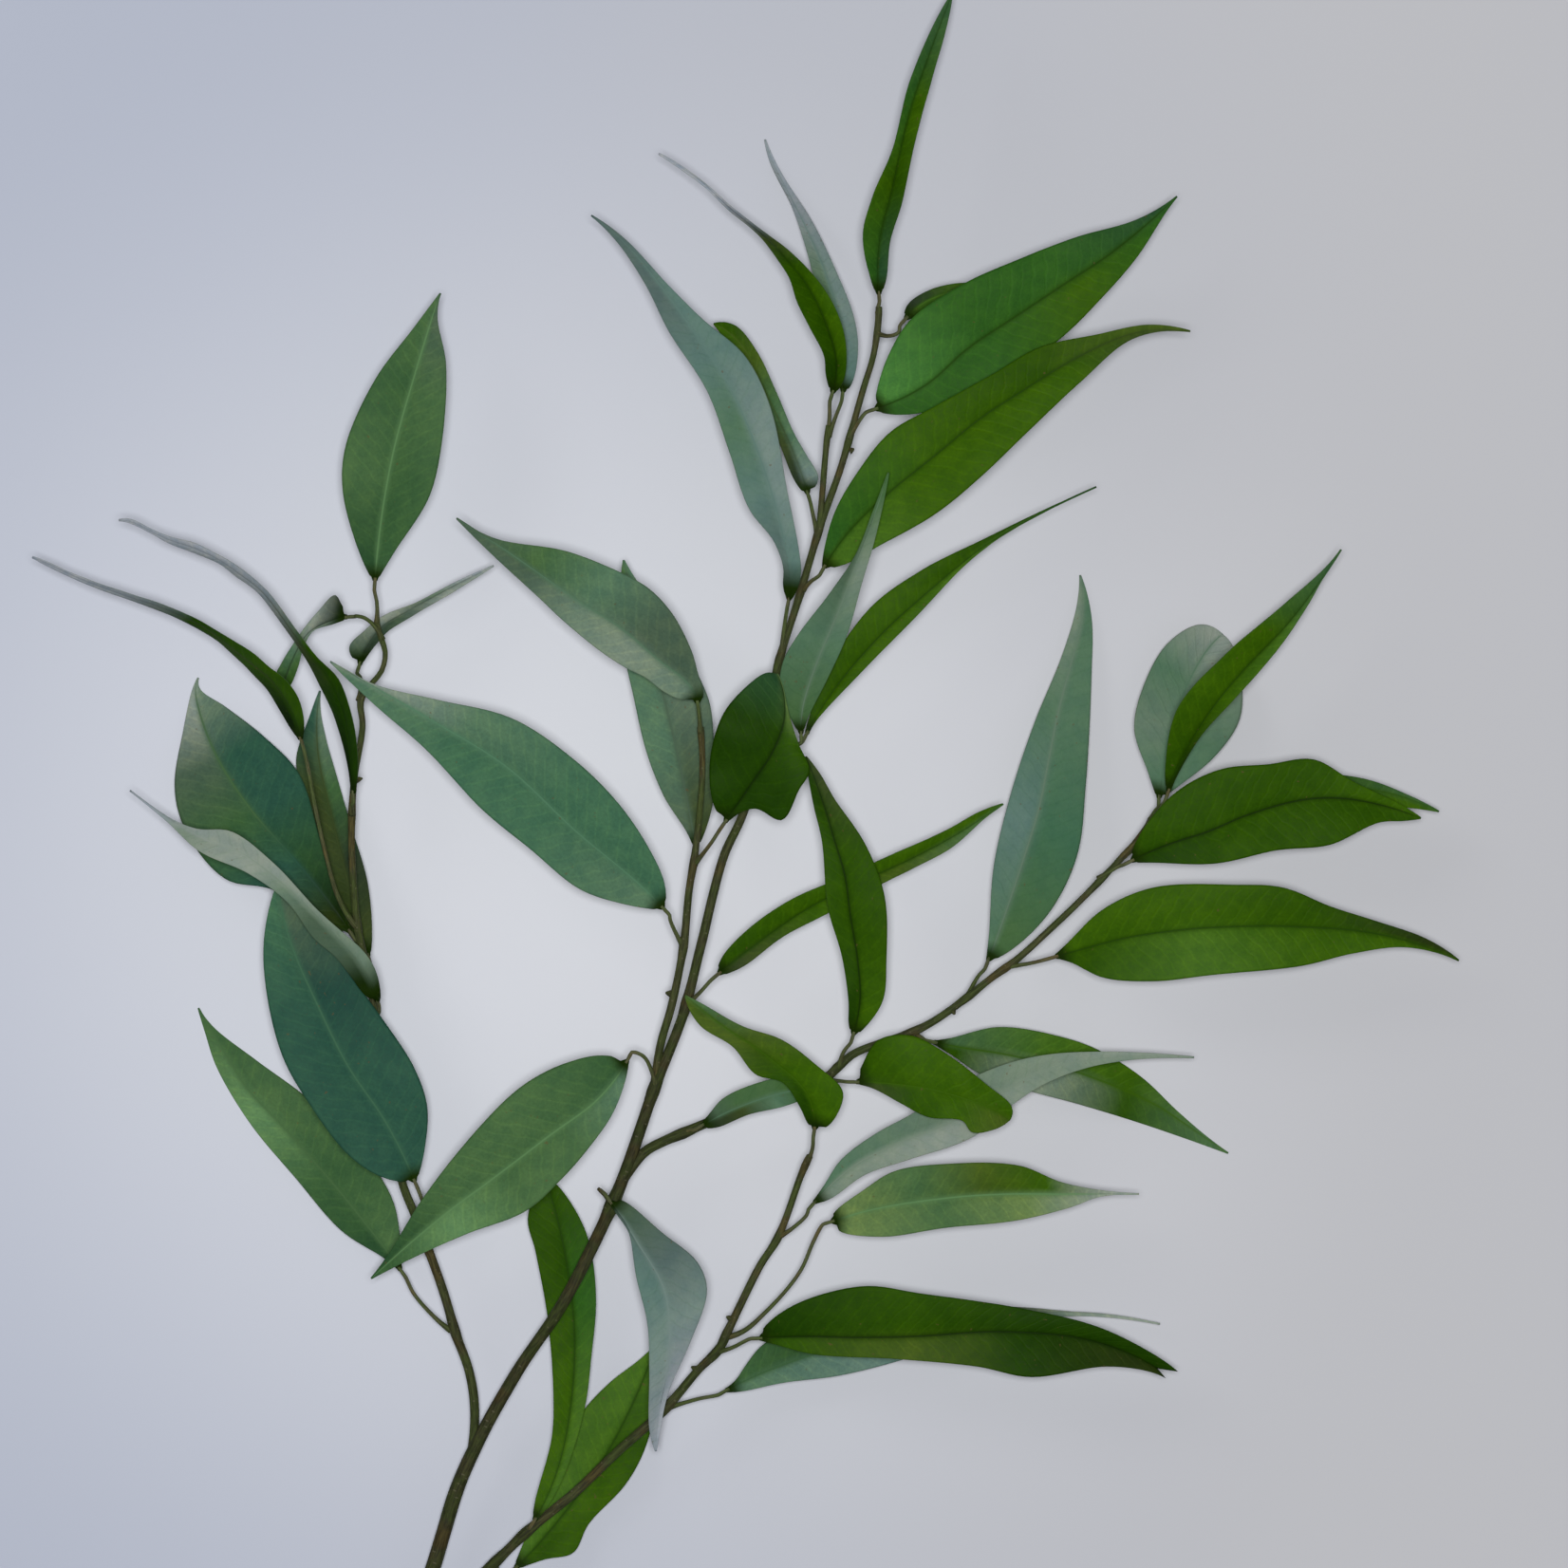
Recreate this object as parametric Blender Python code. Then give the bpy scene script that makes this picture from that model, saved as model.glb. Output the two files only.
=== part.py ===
"""A cut branch of lemon-scented gum that lies on a surface: a forked stem and 44 long leaves.

Plan positions are pixels of the upright view of the branch, x to the right and y down, and heights
are millimetres above the surface. spot() turns both into metres.
"""
import math
from collections import namedtuple

import bmesh
import bpy
import numpy as np
from mathutils import Vector

# Driving dimensions
VIEW_WIDTH = 0.5507  # metres across the whole view, which makes the longest leaf about 150 mm
VIEW_PIXELS = 1652
VIEW_HEIGHT = 3.0  # the lines of sight meet this far above the surface
BLADE_THICKNESS = 0.0007
STALK_RADIUS = 0.7  # mm, of a leaf's own stalk
SEAT_GAP = 0.00045  # between a leaf and the end of its stalk, about 0.3 mm at its corners
NECK = 0.0014  # a blade widens only this far ahead of its stalk

# Form of the leaves and the stem
STATIONS = 14  # rings of points along a leaf
EVEN_SHARE = 0.6  # how evenly they are spaced: 0 crowds them at both ends
TWIST_END = 0.72  # share of a leaf's length at which its halves reach their rise at the tip
WAVE_HEIGHT = 0.0008  # rise and fall of a leaf's edges
WAVE_COUNT = 2.6
WAVE_REACH = 0.008  # an edge this far from the rib has the whole wave
WAVE_TURN = 2.4  # radians from one leaf's wave to the next one's
EDGES_APART = 1.3  # radians between the waves of a leaf's two edges
BASE_HALF_WIDTH = 2.4  # pixels
TIP_HALF_WIDTH = 1.0  # pixels
STALK_APPROACH = (0.0032, 0.0016)  # a stalk's last points, in line with its leaf
RING_STEP = 0.011  # between the rings of a twig
STALK_RING_STEP = 0.006
STEM_SIDES = 8
TWIG_SIDES = 7
STALK_SIDES = 6
STALK_FLARE = 1.15  # how much thicker a stalk is where it leaves its twig
CURVE_PARTS = 16  # straight parts between two points of a smooth curve
END_SHARE = 0.02  # share of a rib's length that tells which way its end points
BARK_ROUGHNESS = 0.7
LEAF_ROUGHNESS = 0.55
UNDERSIDE_ROUGHNESS = 0.7

MM = 0.001
PIXEL = VIEW_WIDTH / VIEW_PIXELS
LOWEST_RIB = BLADE_THICKNESS / 2 / MM  # mm, the middle of a blade that lies flat on the surface

Leaf = namedtuple("Leaf", "rib left right rise stalk pale wave prongs")
Twig = namedtuple("Twig", "path radii sides")


def leaf(rib, left, right, stalk, rise=(10, 10), tip_rise=None, pale=False, wave=1.0,
         prongs=None):
    """rib runs from base to tip as (x, y, height); left and right are the leaf's two edges as seen
    from above by one who walks from base to tip. rise is how steeply each half climbs from the rib,
    in degrees, and tip_rise is the same at the tip. stalk starts inside the twig that carries it.
    prongs are the ends of the left and right edges of a leaf with a forked tip."""
    return Leaf(rib, left, right, (rise, tip_rise or rise), stalk, pale, wave, prongs)


LEAVES = {
    "leaf_01": leaf(
        rib=[(395, 612, 36), (411, 492, 42), (436, 398, 43), (464, 309, 38)],
        left=[(377, 578), (361, 517), (364, 470), (395, 400), (436, 345)],
        right=[(416, 581), (452, 524), (465, 470), (470, 384), (461, 334)],
        stalk=[(397, 657, 36), (397, 635, 36)], rise=(12, 12)),
    "leaf_02": leaf(
        rib=[(372, 836, 40), (370, 800, 44), (362, 752, 49), (345, 712, 52), (326, 690, 53.5),
             (308, 665, 54.5), (290, 640, 55), (274, 621, 55), (249, 602, 54.5), (232, 590, 54),
             (204, 577, 52), (180, 569, 50.5), (162, 561, 49), (137, 549, 47), (125, 548, 46)],
        left=[(365, 800), (352, 755), (334, 716), (321, 692), (303, 666), (287, 644), (271, 624),
              (248, 607), (231, 594), (203, 582), (179, 573), (161, 563), (136, 551)],
        right=[(377, 800), (371, 755), (356, 715), (332, 690), (313, 665), (293, 637), (278, 619),
               (251, 597), (233, 586), (205, 572), (181, 566), (163, 559), (138, 547)],
        stalk=[(371, 858, 33), (371, 848, 37)], rise=(-62, 62), tip_rise=(-50, 50)),
    "leaf_03": leaf(
        rib=[(317, 779, 42), (308, 752, 47), (298, 733, 50), (283, 714, 52.5), (262, 697, 53.5),
             (241, 681, 54), (215, 661, 53.5), (193, 650, 53), (165, 638, 51), (137, 629, 49.5),
             (88, 611, 46), (50, 593, 43), (34, 587, 41)],
        left=[(306, 767), (294, 747), (281, 726), (264, 708), (248, 692), (231, 677), (213, 665),
              (192, 654), (164, 642), (136, 632), (87, 614)],
        right=[(320, 757), (314, 735), (300, 715), (284, 703), (268, 689), (249, 677), (216, 657),
               (194, 646), (166, 635), (138, 626), (89, 609)],
        stalk=[(376, 977, 31.4), (357, 947, 34), (343, 900, 35), (332, 850, 36), (325, 812, 38)],
        rise=(-55, 55)),
    "leaf_04": leaf(
        rib=[(366, 650, 36), (348, 654, 38), (325, 667, 37), (309, 693, 31), (297, 728, 24)],
        left=[(350, 658), (330, 665), (320, 682), (314, 703), (306, 722)],
        right=[(360, 637), (353, 627), (335, 644), (316, 668), (297, 698), (290, 714)],
        stalk=[(403, 674, 36), (395, 660, 37), (384, 651, 37), (375, 649, 36)], rise=(5, 35)),
    "leaf_05": leaf(
        rib=[(379, 700, 26), (390, 676, 28), (404, 659, 29), (431, 643, 30), (475, 619, 31),
             (520, 596, 28)],
        left=[(368, 682), (383, 665), (402, 650), (440, 634), (480, 613)],
        right=[(388, 690), (398, 677), (408, 666), (433, 650), (477, 624)],
        stalk=[(378, 738, 34), (380, 715, 29)], rise=(30, 45)),
    "leaf_06": leaf(
        rib=[(735, 741, 45.5), (733, 732, 46.8), (722, 717, 48), (695, 696, 50.5), (652, 660, 53),
             (614, 636, 55), (572, 607, 56), (530, 578, 55), (481, 546, 51)],
        left=[(728, 739), (714, 736), (698, 728), (680, 714), (658, 703), (627, 682), (590, 651),
              (569, 631), (518, 584)],
        right=[(741, 732), (735, 708), (728, 684), (708, 646), (686, 622), (664, 608), (598, 581),
               (521, 567)],
        stalk=[(738, 772, 41), (737, 758, 43)], rise=(8, 18)),
    "leaf_07": leaf(
        rib=[(699, 957, 42), (672, 930, 45), (607, 876, 50), (534, 808, 53), (460, 762, 52),
             (348, 697, 46)],
        left=[(659, 953), (611, 937), (559, 895), (508, 853), (449, 790), (395, 743)],
        right=[(700, 930), (681, 889), (652, 847), (607, 802), (540, 757), (460, 737), (395, 721)],
        stalk=[(720, 998, 39), (713, 985, 40), (706, 969, 41)], rise=(10, 14)),
    "leaf_08": leaf(
        rib=[(369, 982, 30), (352, 957, 28.5), (310, 905, 23), (262, 850, 15), (225, 790, 7),
             (206, 730, LOWEST_RIB), (209, 714, LOWEST_RIB)],
        left=[(349, 977), (326, 963), (286, 937), (241, 928), (213, 903), (190, 862), (184, 825),
              (193, 770), (202, 728)],
        right=[(361, 955), (350, 930), (336, 880), (315, 815), (278, 776), (238, 745),
               (211, 726)],
        stalk=[(380, 997, 30.4), (376, 991, 30.3)], rise=(6, 8), tip_rise=(2, 2)),
    "leaf_09": leaf(
        rib=[(398, 1055, 38.5), (396, 1048, 41.5), (388, 1033, 43), (376, 1011, 43.5),
             (359, 991, 44.5), (330, 962, 46), (290, 924, 48), (250, 896, 48), (215, 884, 46),
             (137, 833, 39)],
        left=[(384, 1048), (369, 1028), (353, 1008), (330, 988), (303, 951), (261, 920),
              (210, 897), (176, 866)],
        right=[(401, 1047), (398, 1029), (391, 1013), (381, 1000), (363, 984), (334, 958),
               (289, 910), (244, 876), (207, 873), (176, 860)],
        stalk=[(395, 1068, 28.5), (399, 1067, 32)], rise=(15, 15), pale=True),
    "leaf_10": leaf(
        rib=[(388, 1008, 24), (372, 950, 18), (352, 870, 12), (335, 790, 8), (337, 728, 5)],
        left=[(370, 988), (350, 955), (334, 900), (319, 840), (312, 800), (326, 755)],
        right=[(392, 979), (387, 928), (370, 870), (354, 815), (344, 780), (338, 750)],
        stalk=[(389, 1034, 29), (389, 1021, 26)], rise=(6, 6)),
    "leaf_11": leaf(
        rib=[(437, 1245, 30), (405, 1180, 34), (367, 1124, 36), (335, 1060, 37), (305, 990, 35),
             (292, 932, 32)],
        left=[(402, 1240), (367, 1217), (325, 1162), (298, 1114), (281, 1047), (278, 990)],
        right=[(448, 1207), (450, 1165), (436, 1124), (402, 1072), (370, 1028), (334, 975)],
        stalk=[(449, 1311, 23), (449, 1280, 26)], rise=(10, 0)),
    "leaf_12": leaf(
        rib=[(422, 1338, 18), (370, 1270, 11), (310, 1200, 3.5), (258, 1144, LOWEST_RIB),
             (249, 1130, LOWEST_RIB), (209, 1062, LOWEST_RIB)],
        left=[(405, 1326), (360, 1297), (312, 1242), (263, 1183), (228, 1124), (216, 1088)],
        right=[(422, 1307), (414, 1265), (388, 1222), (325, 1158), (270, 1117), (225, 1082)],
        stalk=[(475, 1402, 20), (457, 1387, 20), (436, 1363, 19)],
        rise=(8, 8), tip_rise=(0, 0), wave=0.0),
    "leaf_13": leaf(
        rib=[(661, 1117, 44), (630, 1158, 47), (578, 1197, 49), (519, 1242, 48), (464, 1283, 44),
             (391, 1347, 38)],
        left=[(656, 1148), (644, 1176), (620, 1210), (592, 1242), (554, 1276), (492, 1300),
              (440, 1323)],
        right=[(630, 1112), (599, 1119), (571, 1131), (540, 1152), (488, 1207), (443, 1266),
               (410, 1320)],
        stalk=[(691, 1148, 36), (687, 1130, 40), (678, 1113, 43)], rise=(12, 12)),
    "leaf_14": leaf(
        rib=[(563, 1602, 20), (590, 1540, 19), (605, 1440, 17), (600, 1350, 16), (575, 1240, 15)],
        left=[(564, 1580), (581, 1516), (583, 1470), (577, 1389), (564, 1318), (556, 1283)],
        right=[(592, 1560), (616, 1484), (623, 1430), (628, 1366), (618, 1300), (592, 1254)],
        stalk=[(553, 1616, 16.5), (558, 1610, 19)], rise=(8, 8)),
    "leaf_15": leaf(
        rib=[(543, 1652, 11), (590, 1600, 8), (640, 1530, 7), (675, 1460, 7), (690, 1418, 7)],
        left=[(562, 1600), (585, 1545), (612, 1490), (642, 1457), (673, 1433)],
        right=[(574, 1643), (604, 1636), (620, 1606), (659, 1564), (680, 1525), (692, 1470)],
        stalk=[(523, 1646, 15), (527, 1659, 12.5)], rise=(6, 6)),
    "leaf_16": leaf(
        rib=[(643, 1266, 40), (672, 1310, 43), (700, 1360, 43), (705, 1430, 41), (694, 1490, 38),
             (691, 1529, 36)],
        left=[(656, 1265), (698, 1299), (735, 1330), (745, 1360), (727, 1415), (704, 1468),
              (696, 1505)],
        right=[(650, 1280), (662, 1298), (670, 1344), (682, 1395), (684, 1446), (684, 1505)],
        stalk=[(645, 1270, 32), (638, 1260, 33), (631, 1253, 36)], rise=(14, 10), pale=True),
    "leaf_17": leaf(
        rib=[(733, 893, 34), (715, 800, 31), (690, 700, 29), (668, 630, 29), (657, 590, 30)],
        left=[(723, 876), (700, 840), (681, 792), (667, 732), (656, 680), (653, 630)],
        right=[(744, 873), (752, 840), (752, 780), (748, 742), (739, 718), (716, 675), (690, 635),
               (672, 613)],
        stalk=[(732, 912, 38), (733, 903, 36)], rise=(5, 5)),
    "leaf_18": leaf(
        rib=[(764, 866, 50), (790, 828, 54), (815, 790, 57), (827, 752, 57), (819, 710, 53)],
        left=[(751, 845), (748, 800), (762, 752), (790, 720), (807, 709)],
        right=[(795, 852), (824, 864), (842, 832), (853, 812), (842, 785), (832, 755), (825, 725)],
        stalk=[(732, 910, 39), (741, 899, 42), (750, 887, 46)], rise=(8, 4)),
    "leaf_19": leaf(
        rib=[(926, 310, 41), (927, 255, 45), (940, 200, 46), (958, 120, 44), (980, 55, 40),
             (1003, -6, 34)],
        left=[(917, 293), (909, 248), (920, 205), (940, 158), (958, 87), (985, 23)],
        right=[(934, 293), (938, 254), (950, 215), (964, 150), (980, 90), (997, 30)],
        stalk=[(925, 330, 39.8), (926, 320, 40.4)], rise=(40, 35)),
    "leaf_20": leaf(
        rib=[(877, 414, 43), (881, 380, 47), (868, 335, 49), (850, 300, 49), (829, 274, 48.5),
             (810, 253, 47.5), (791, 237, 46.5), (769, 219, 45), (742, 194, 43), (713, 173, 41),
             (694, 162, 39)],
        left=[(870, 395), (868, 375), (851, 341), (840, 319), (831, 292), (818, 272), (805, 254),
              (789, 239), (767, 221), (741, 196), (712, 175)],
        right=[(888, 403), (892, 382), (888, 345), (869, 305), (851, 283), (829, 262), (813, 250),
               (793, 235), (770, 217), (743, 193), (714, 172)],
        stalk=[(872, 462, 41), (874, 438, 41.5)], rise=(35, 35)),
    "leaf_21": leaf(
        rib=[(888, 413, 39), (889, 360, 33), (873, 297, 22.5), (848, 238, 12), (823, 189, 3),
             (813, 168, LOWEST_RIB), (806, 147, LOWEST_RIB)],
        left=[(880, 395), (876, 355), (862, 310), (850, 265), (834, 217), (819, 188), (810, 168)],
        right=[(898, 403), (904, 370), (900, 335), (878, 279), (855, 232), (828, 190), (816, 168)],
        stalk=[(873, 460, 41), (880, 440, 41)], rise=(20, 20), tip_rise=(5, 5), pale=True),
    "leaf_22": leaf(
        rib=[(851, 520, 36), (835, 475, 35), (805, 410, 34), (780, 362, 33), (752, 341, 31)],
        left=[(838, 508), (820, 465), (790, 400), (765, 360)],
        right=[(862, 503), (850, 480), (836, 455), (818, 413), (798, 371), (775, 343)],
        stalk=[(861, 562, 38), (855, 535, 37)], rise=(5, 15)),
    "leaf_23": leaf(
        rib=[(831, 632, 41.5), (833, 612, 43.5), (824, 560, 46.5), (800, 480, 50), (770, 410, 52),
             (735, 355, 51), (695, 300, 49), (660, 258, 47), (623, 227, 42)],
        left=[(825, 618), (825, 597), (815, 570), (789, 536), (768, 475), (744, 410), (705, 350),
              (680, 300), (650, 255)],
        right=[(840, 621), (844, 604), (841, 575), (830, 520), (812, 430), (785, 375), (740, 336),
               (702, 298), (659, 252)],
        stalk=[(822, 697, 38), (825, 670, 39.5)], rise=(14, 12), pale=True),
    "leaf_24": leaf(
        rib=[(922, 431, 42), (975, 406, 44), (1020, 367, 45), (1071, 333, 45), (1122, 299, 44),
             (1173, 265, 42), (1240, 207, 36)],
        left=[(925, 406), (937, 372), (960, 336), (1015, 299), (1071, 274), (1133, 250),
              (1198, 231)],
        right=[(953, 437), (1010, 425), (1065, 392), (1116, 358), (1159, 316), (1198, 271),
               (1229, 223)],
        stalk=[(895, 463, 39.3), (903, 447, 40.5)], rise=(10, 0)),
    "leaf_25": leaf(
        rib=[(954, 336, 36), (975, 318, 34), (1010, 306, 32), (1060, 302, 30), (1120, 292, 29),
             (1170, 272, 29)],
        left=[(957, 320), (978, 306), (1003, 299), (1040, 296), (1085, 283), (1140, 266)],
        right=[(965, 343), (1000, 345), (1050, 335), (1110, 312), (1150, 288)],
        stalk=[(923, 350, 40), (936, 354, 38), (947, 350, 37)], rise=(5, 5)),
    "leaf_26": leaf(
        rib=[(868, 598, 45), (892, 563, 49), (932, 523, 53), (985, 480, 55), (1034, 440, 56),
             (1077, 412, 56), (1120, 385, 55), (1169, 360, 53), (1200, 350, 51), (1254, 349, 47)],
        left=[(869, 575), (880, 538), (905, 495), (938, 455), (985, 428), (1046, 394), (1095, 366),
              (1157, 352), (1209, 342)],
        right=[(892, 594), (923, 577), (985, 542), (1034, 502), (1083, 455), (1138, 403),
               (1194, 357)],
        stalk=[(846, 622, 38.5), (854, 613, 41.5)], rise=(8, 10)),
    "leaf_27": leaf(
        rib=[(844, 773, 45), (846, 745, 48), (860, 700, 54), (885, 640, 61), (905, 585, 66),
             (922, 540, 68), (936, 498, 67)],
        left=[(833, 757), (822, 735), (824, 700), (840, 670), (874, 625), (902, 583), (919, 540)],
        right=[(852, 755), (871, 717), (893, 668), (908, 615), (920, 575), (932, 525)],
        stalk=[(801, 802, 39), (822, 792, 41), (840, 784, 44)], rise=(10, 15), pale=True),
    "leaf_28": leaf(
        rib=[(850, 773, 41), (880, 725, 42), (929, 668, 43), (980, 622, 43), (1034, 578, 42),
             (1083, 548, 40), (1155, 513, 35)],
        left=[(855, 748), (875, 700), (917, 640), (972, 600), (1034, 569), (1083, 545)],
        right=[(859, 761), (905, 711), (966, 649), (1022, 591), (1077, 551)],
        stalk=[(801, 802, 38), (824, 795, 38.5), (842, 784, 40)], rise=(10, 10)),
    "leaf_29": leaf(
        rib=[(899, 1090, 36), (906, 1051, 41), (903, 1008, 44), (896, 965, 46), (890, 922, 47),
             (878, 882, 47), (866, 842, 46), (849, 797, 44)],
        left=[(894, 1078), (894, 1057), (887, 1008), (872, 955), (866, 887), (857, 848)],
        right=[(910, 1084), (930, 1055), (934, 1010), (932, 944), (912, 890), (879, 841),
               (864, 815)],
        stalk=[(884, 1125, 30), (889, 1108, 33)], rise=(12, 12)),
    "leaf_30": leaf(
        rib=[(757, 1026, 39), (790, 1000, 38), (850, 958, 36), (905, 930, 35), (960, 905, 36),
             (1010, 878, 37), (1057, 847, 36)],
        left=[(761, 1008), (788, 979), (831, 949), (880, 927), (938, 901), (998, 874), (1030, 856)],
        right=[(782, 1019), (825, 987), (871, 963), (920, 936), (960, 916), (1003, 893),
               (1038, 862)],
        stalk=[(724, 1058, 37.5), (736, 1047, 39)], rise=(25, 20)),
    "leaf_31": leaf(
        rib=[(858, 1190, 39), (857, 1170, 42), (845, 1145, 45), (820, 1122, 46), (795, 1103, 47),
             (765, 1083, 48), (722, 1049, 48)],
        left=[(850, 1182), (843, 1167), (825, 1141), (796, 1132), (772, 1103), (737, 1080)],
        right=[(870, 1188), (881, 1176), (888, 1150), (860, 1122), (823, 1095), (782, 1081),
               (741, 1058)],
        stalk=[(850, 1226, 32), (856, 1210, 35.5)], rise=(12, 10)),
    "leaf_32": leaf(
        rib=[(739, 1186, 34.5), (775, 1168, 36), (815, 1154, 36), (862, 1144, 35)],
        left=[(746, 1175), (762, 1157), (798, 1141), (840, 1133)],
        right=[(755, 1188), (790, 1174), (825, 1166), (850, 1156)],
        stalk=[(719, 1194, 32), (729, 1190, 33.5)], rise=(5, 5), pale=True),
    "leaf_33": leaf(
        rib=[(902, 1140, 37), (942, 1142, 40), (978, 1147, 42), (1012, 1156, 43), (1045, 1168, 41),
             (1064, 1180, 38)],
        left=[(907, 1125), (925, 1096), (960, 1091), (1000, 1112), (1040, 1143), (1066, 1166)],
        right=[(920, 1147), (948, 1162), (978, 1177), (1014, 1181), (1024, 1193), (1048, 1190)],
        stalk=[(871, 1138, 29), (885, 1139, 33)], rise=(8, 8)),
    "leaf_34": leaf(
        rib=[(984, 1098, 28), (1015, 1104, 24), (1060, 1111, 17), (1130, 1128, 8), (1195, 1153, 1.5),
             (1225, 1168, LOWEST_RIB), (1240, 1178, LOWEST_RIB), (1294, 1215, LOWEST_RIB)],
        left=[(1000, 1094), (1052, 1082), (1117, 1092), (1157, 1106), (1203, 1135), (1240, 1170),
              (1270, 1196)],
        right=[(1000, 1110), (1037, 1134), (1083, 1149), (1135, 1163), (1197, 1182), (1250, 1200)],
        stalk=[(961, 1087, 30), (972, 1094, 29)], rise=(10, 10), tip_rise=(0, 0), wave=0.0),
    "leaf_35": leaf(
        rib=[(858, 1267, 30), (900, 1228, 32), (950, 1203, 32), (1000, 1183, 32), (1045, 1157, 32),
             (1100, 1128, 32), (1160, 1115, 31), (1258, 1114, 28)],
        left=[(868, 1249), (886, 1222), (923, 1194), (960, 1174), (1031, 1132), (1086, 1114),
              (1148, 1108)],
        right=[(877, 1262), (911, 1238), (957, 1222), (1025, 1198), (1068, 1163), (1105, 1140),
               (1163, 1121)],
        stalk=[(819, 1304, 26), (835, 1294, 28), (850, 1280, 29)], rise=(10, 12), pale=True),
    "leaf_36": leaf(
        rib=[(876, 1287, 31), (930, 1272, 35), (1000, 1262, 37), (1060, 1258, 37), (1120, 1258, 35),
             (1200, 1258, 31)],
        left=[(880, 1276), (908, 1255), (942, 1234), (1000, 1226), (1074, 1228), (1117, 1245),
              (1155, 1253)],
        right=[(886, 1298), (932, 1303), (994, 1294), (1071, 1286), (1125, 1273), (1160, 1261)],
        stalk=[(764, 1409, 24), (784, 1402, 25), (808, 1381, 26), (831, 1356, 27), (845, 1336, 28),
               (857, 1308, 29)], rise=(12, 12)),
    "leaf_37": leaf(
        rib=[(800, 1410, 29), (850, 1408, 33), (902, 1409, 35), (963, 1408, 36), (1055, 1403, 36),
             (1148, 1412, 33), (1218, 1441, 28)],
        left=[(810, 1393), (845, 1371), (911, 1355), (972, 1363), (1074, 1378), (1157, 1398),
              (1216, 1427)],
        right=[(818, 1417), (858, 1427), (945, 1432), (1030, 1440), (1086, 1451), (1163, 1440),
               (1206, 1444)],
        stalk=[(754, 1425, 24), (771, 1420, 26)], rise=(12, 10),
        prongs=((1241, 1445), (1228, 1452))),
    "leaf_38": leaf(
        rib=[(765, 1465, 19), (800, 1448, 15), (862, 1425, 12), (960, 1400, 10), (1050, 1388, 9),
             (1135, 1383, 9), (1222, 1395, 8)],
        left=[(775, 1454), (788, 1435), (806, 1415), (870, 1392), (960, 1378), (1050, 1376),
              (1120, 1381)],
        right=[(782, 1466), (825, 1457), (886, 1449), (960, 1430), (1050, 1400), (1120, 1387)],
        stalk=[(702, 1484, 21), (735, 1474, 20)], rise=(8, 8)),
    "leaf_39": leaf(
        rib=[(1041, 1012, 25), (1060, 960, 22), (1080, 900, 19), (1095, 850, 16), (1105, 800, 13),
             (1115, 750, 10), (1128, 700, 7), (1140, 650, 3.5), (1138, 606, LOWEST_RIB)],
        left=[(1042, 984), (1047, 912), (1065, 836), (1090, 761), (1118, 693), (1134, 640)],
        right=[(1072, 996), (1108, 958), (1135, 901), (1144, 826), (1150, 711), (1150, 650)],
        stalk=[(1020, 1049, 30), (1031, 1028, 27)], rise=(10, 10), tip_rise=(4, 4), pale=True),
    "leaf_40": leaf(
        rib=[(1221, 841, 24), (1228, 790, 20), (1245, 735, 14), (1268, 690, 6),
             (1288, 668, LOWEST_RIB)],
        left=[(1210, 815), (1195, 768), (1205, 722), (1230, 678), (1264, 658)],
        right=[(1245, 826), (1280, 797), (1305, 761), (1309, 728), (1302, 690), (1296, 676)],
        stalk=[(1212, 864, 28), (1218, 853, 26)], rise=(6, 6), tip_rise=(2, 2), pale=True),
    "leaf_41": leaf(
        rib=[(1231, 834, 33), (1250, 790, 37), (1282, 740, 40), (1316, 700, 41), (1359, 655, 41),
             (1413, 579, 37)],
        left=[(1228, 804), (1240, 747), (1287, 693), (1345, 643), (1395, 599)],
        right=[(1241, 816), (1266, 775), (1305, 732), (1345, 686), (1373, 646), (1402, 596)],
        stalk=[(1204, 879, 29), (1222, 852, 31)], rise=(30, 30)),
    "leaf_42": leaf(
        rib=[(1192, 907, 35), (1230, 890, 38), (1273, 876, 39), (1316, 858, 39), (1377, 842, 38),
             (1430, 843, 36), (1497, 862, 32)],
        left=[(1201, 879), (1237, 836), (1284, 811), (1337, 805), (1384, 800), (1427, 824),
              (1475, 847)],
        right=[(1215, 909), (1280, 910), (1345, 896), (1402, 890), (1452, 867), (1480, 865)],
        stalk=[(1157, 926, 30), (1178, 913, 33)], rise=(10, 10)),
    "leaf_43": leaf(
        rib=[(1204, 889, 27), (1260, 865, 26), (1330, 845, 26), (1400, 835, 26), (1450, 833, 26),
             (1516, 855, 23)],
        left=[(1240, 852), (1290, 828), (1340, 819), (1390, 815), (1440, 821), (1485, 838)],
        right=[(1240, 882), (1300, 875), (1370, 865), (1430, 850), (1480, 851)],
        stalk=[(1184, 902, 30), (1194, 895, 28)], rise=(5, 5)),
    "leaf_44": leaf(
        rib=[(1112, 1008, 32), (1144, 999, 35), (1187, 988, 37), (1251, 979, 38), (1309, 976, 38),
             (1359, 976, 37), (1452, 984, 34), (1537, 1012, 29)],
        left=[(1124, 994), (1162, 958), (1215, 935), (1302, 932), (1352, 935), (1402, 955),
              (1452, 971), (1503, 989)],
        right=[(1128, 1014), (1162, 1030), (1215, 1034), (1280, 1027), (1370, 1018), (1424, 1005),
               (1475, 998), (1510, 1003)],
        stalk=[(1058, 1019, 30), (1085, 1015, 31)], rise=(12, 10)),
}

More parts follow.
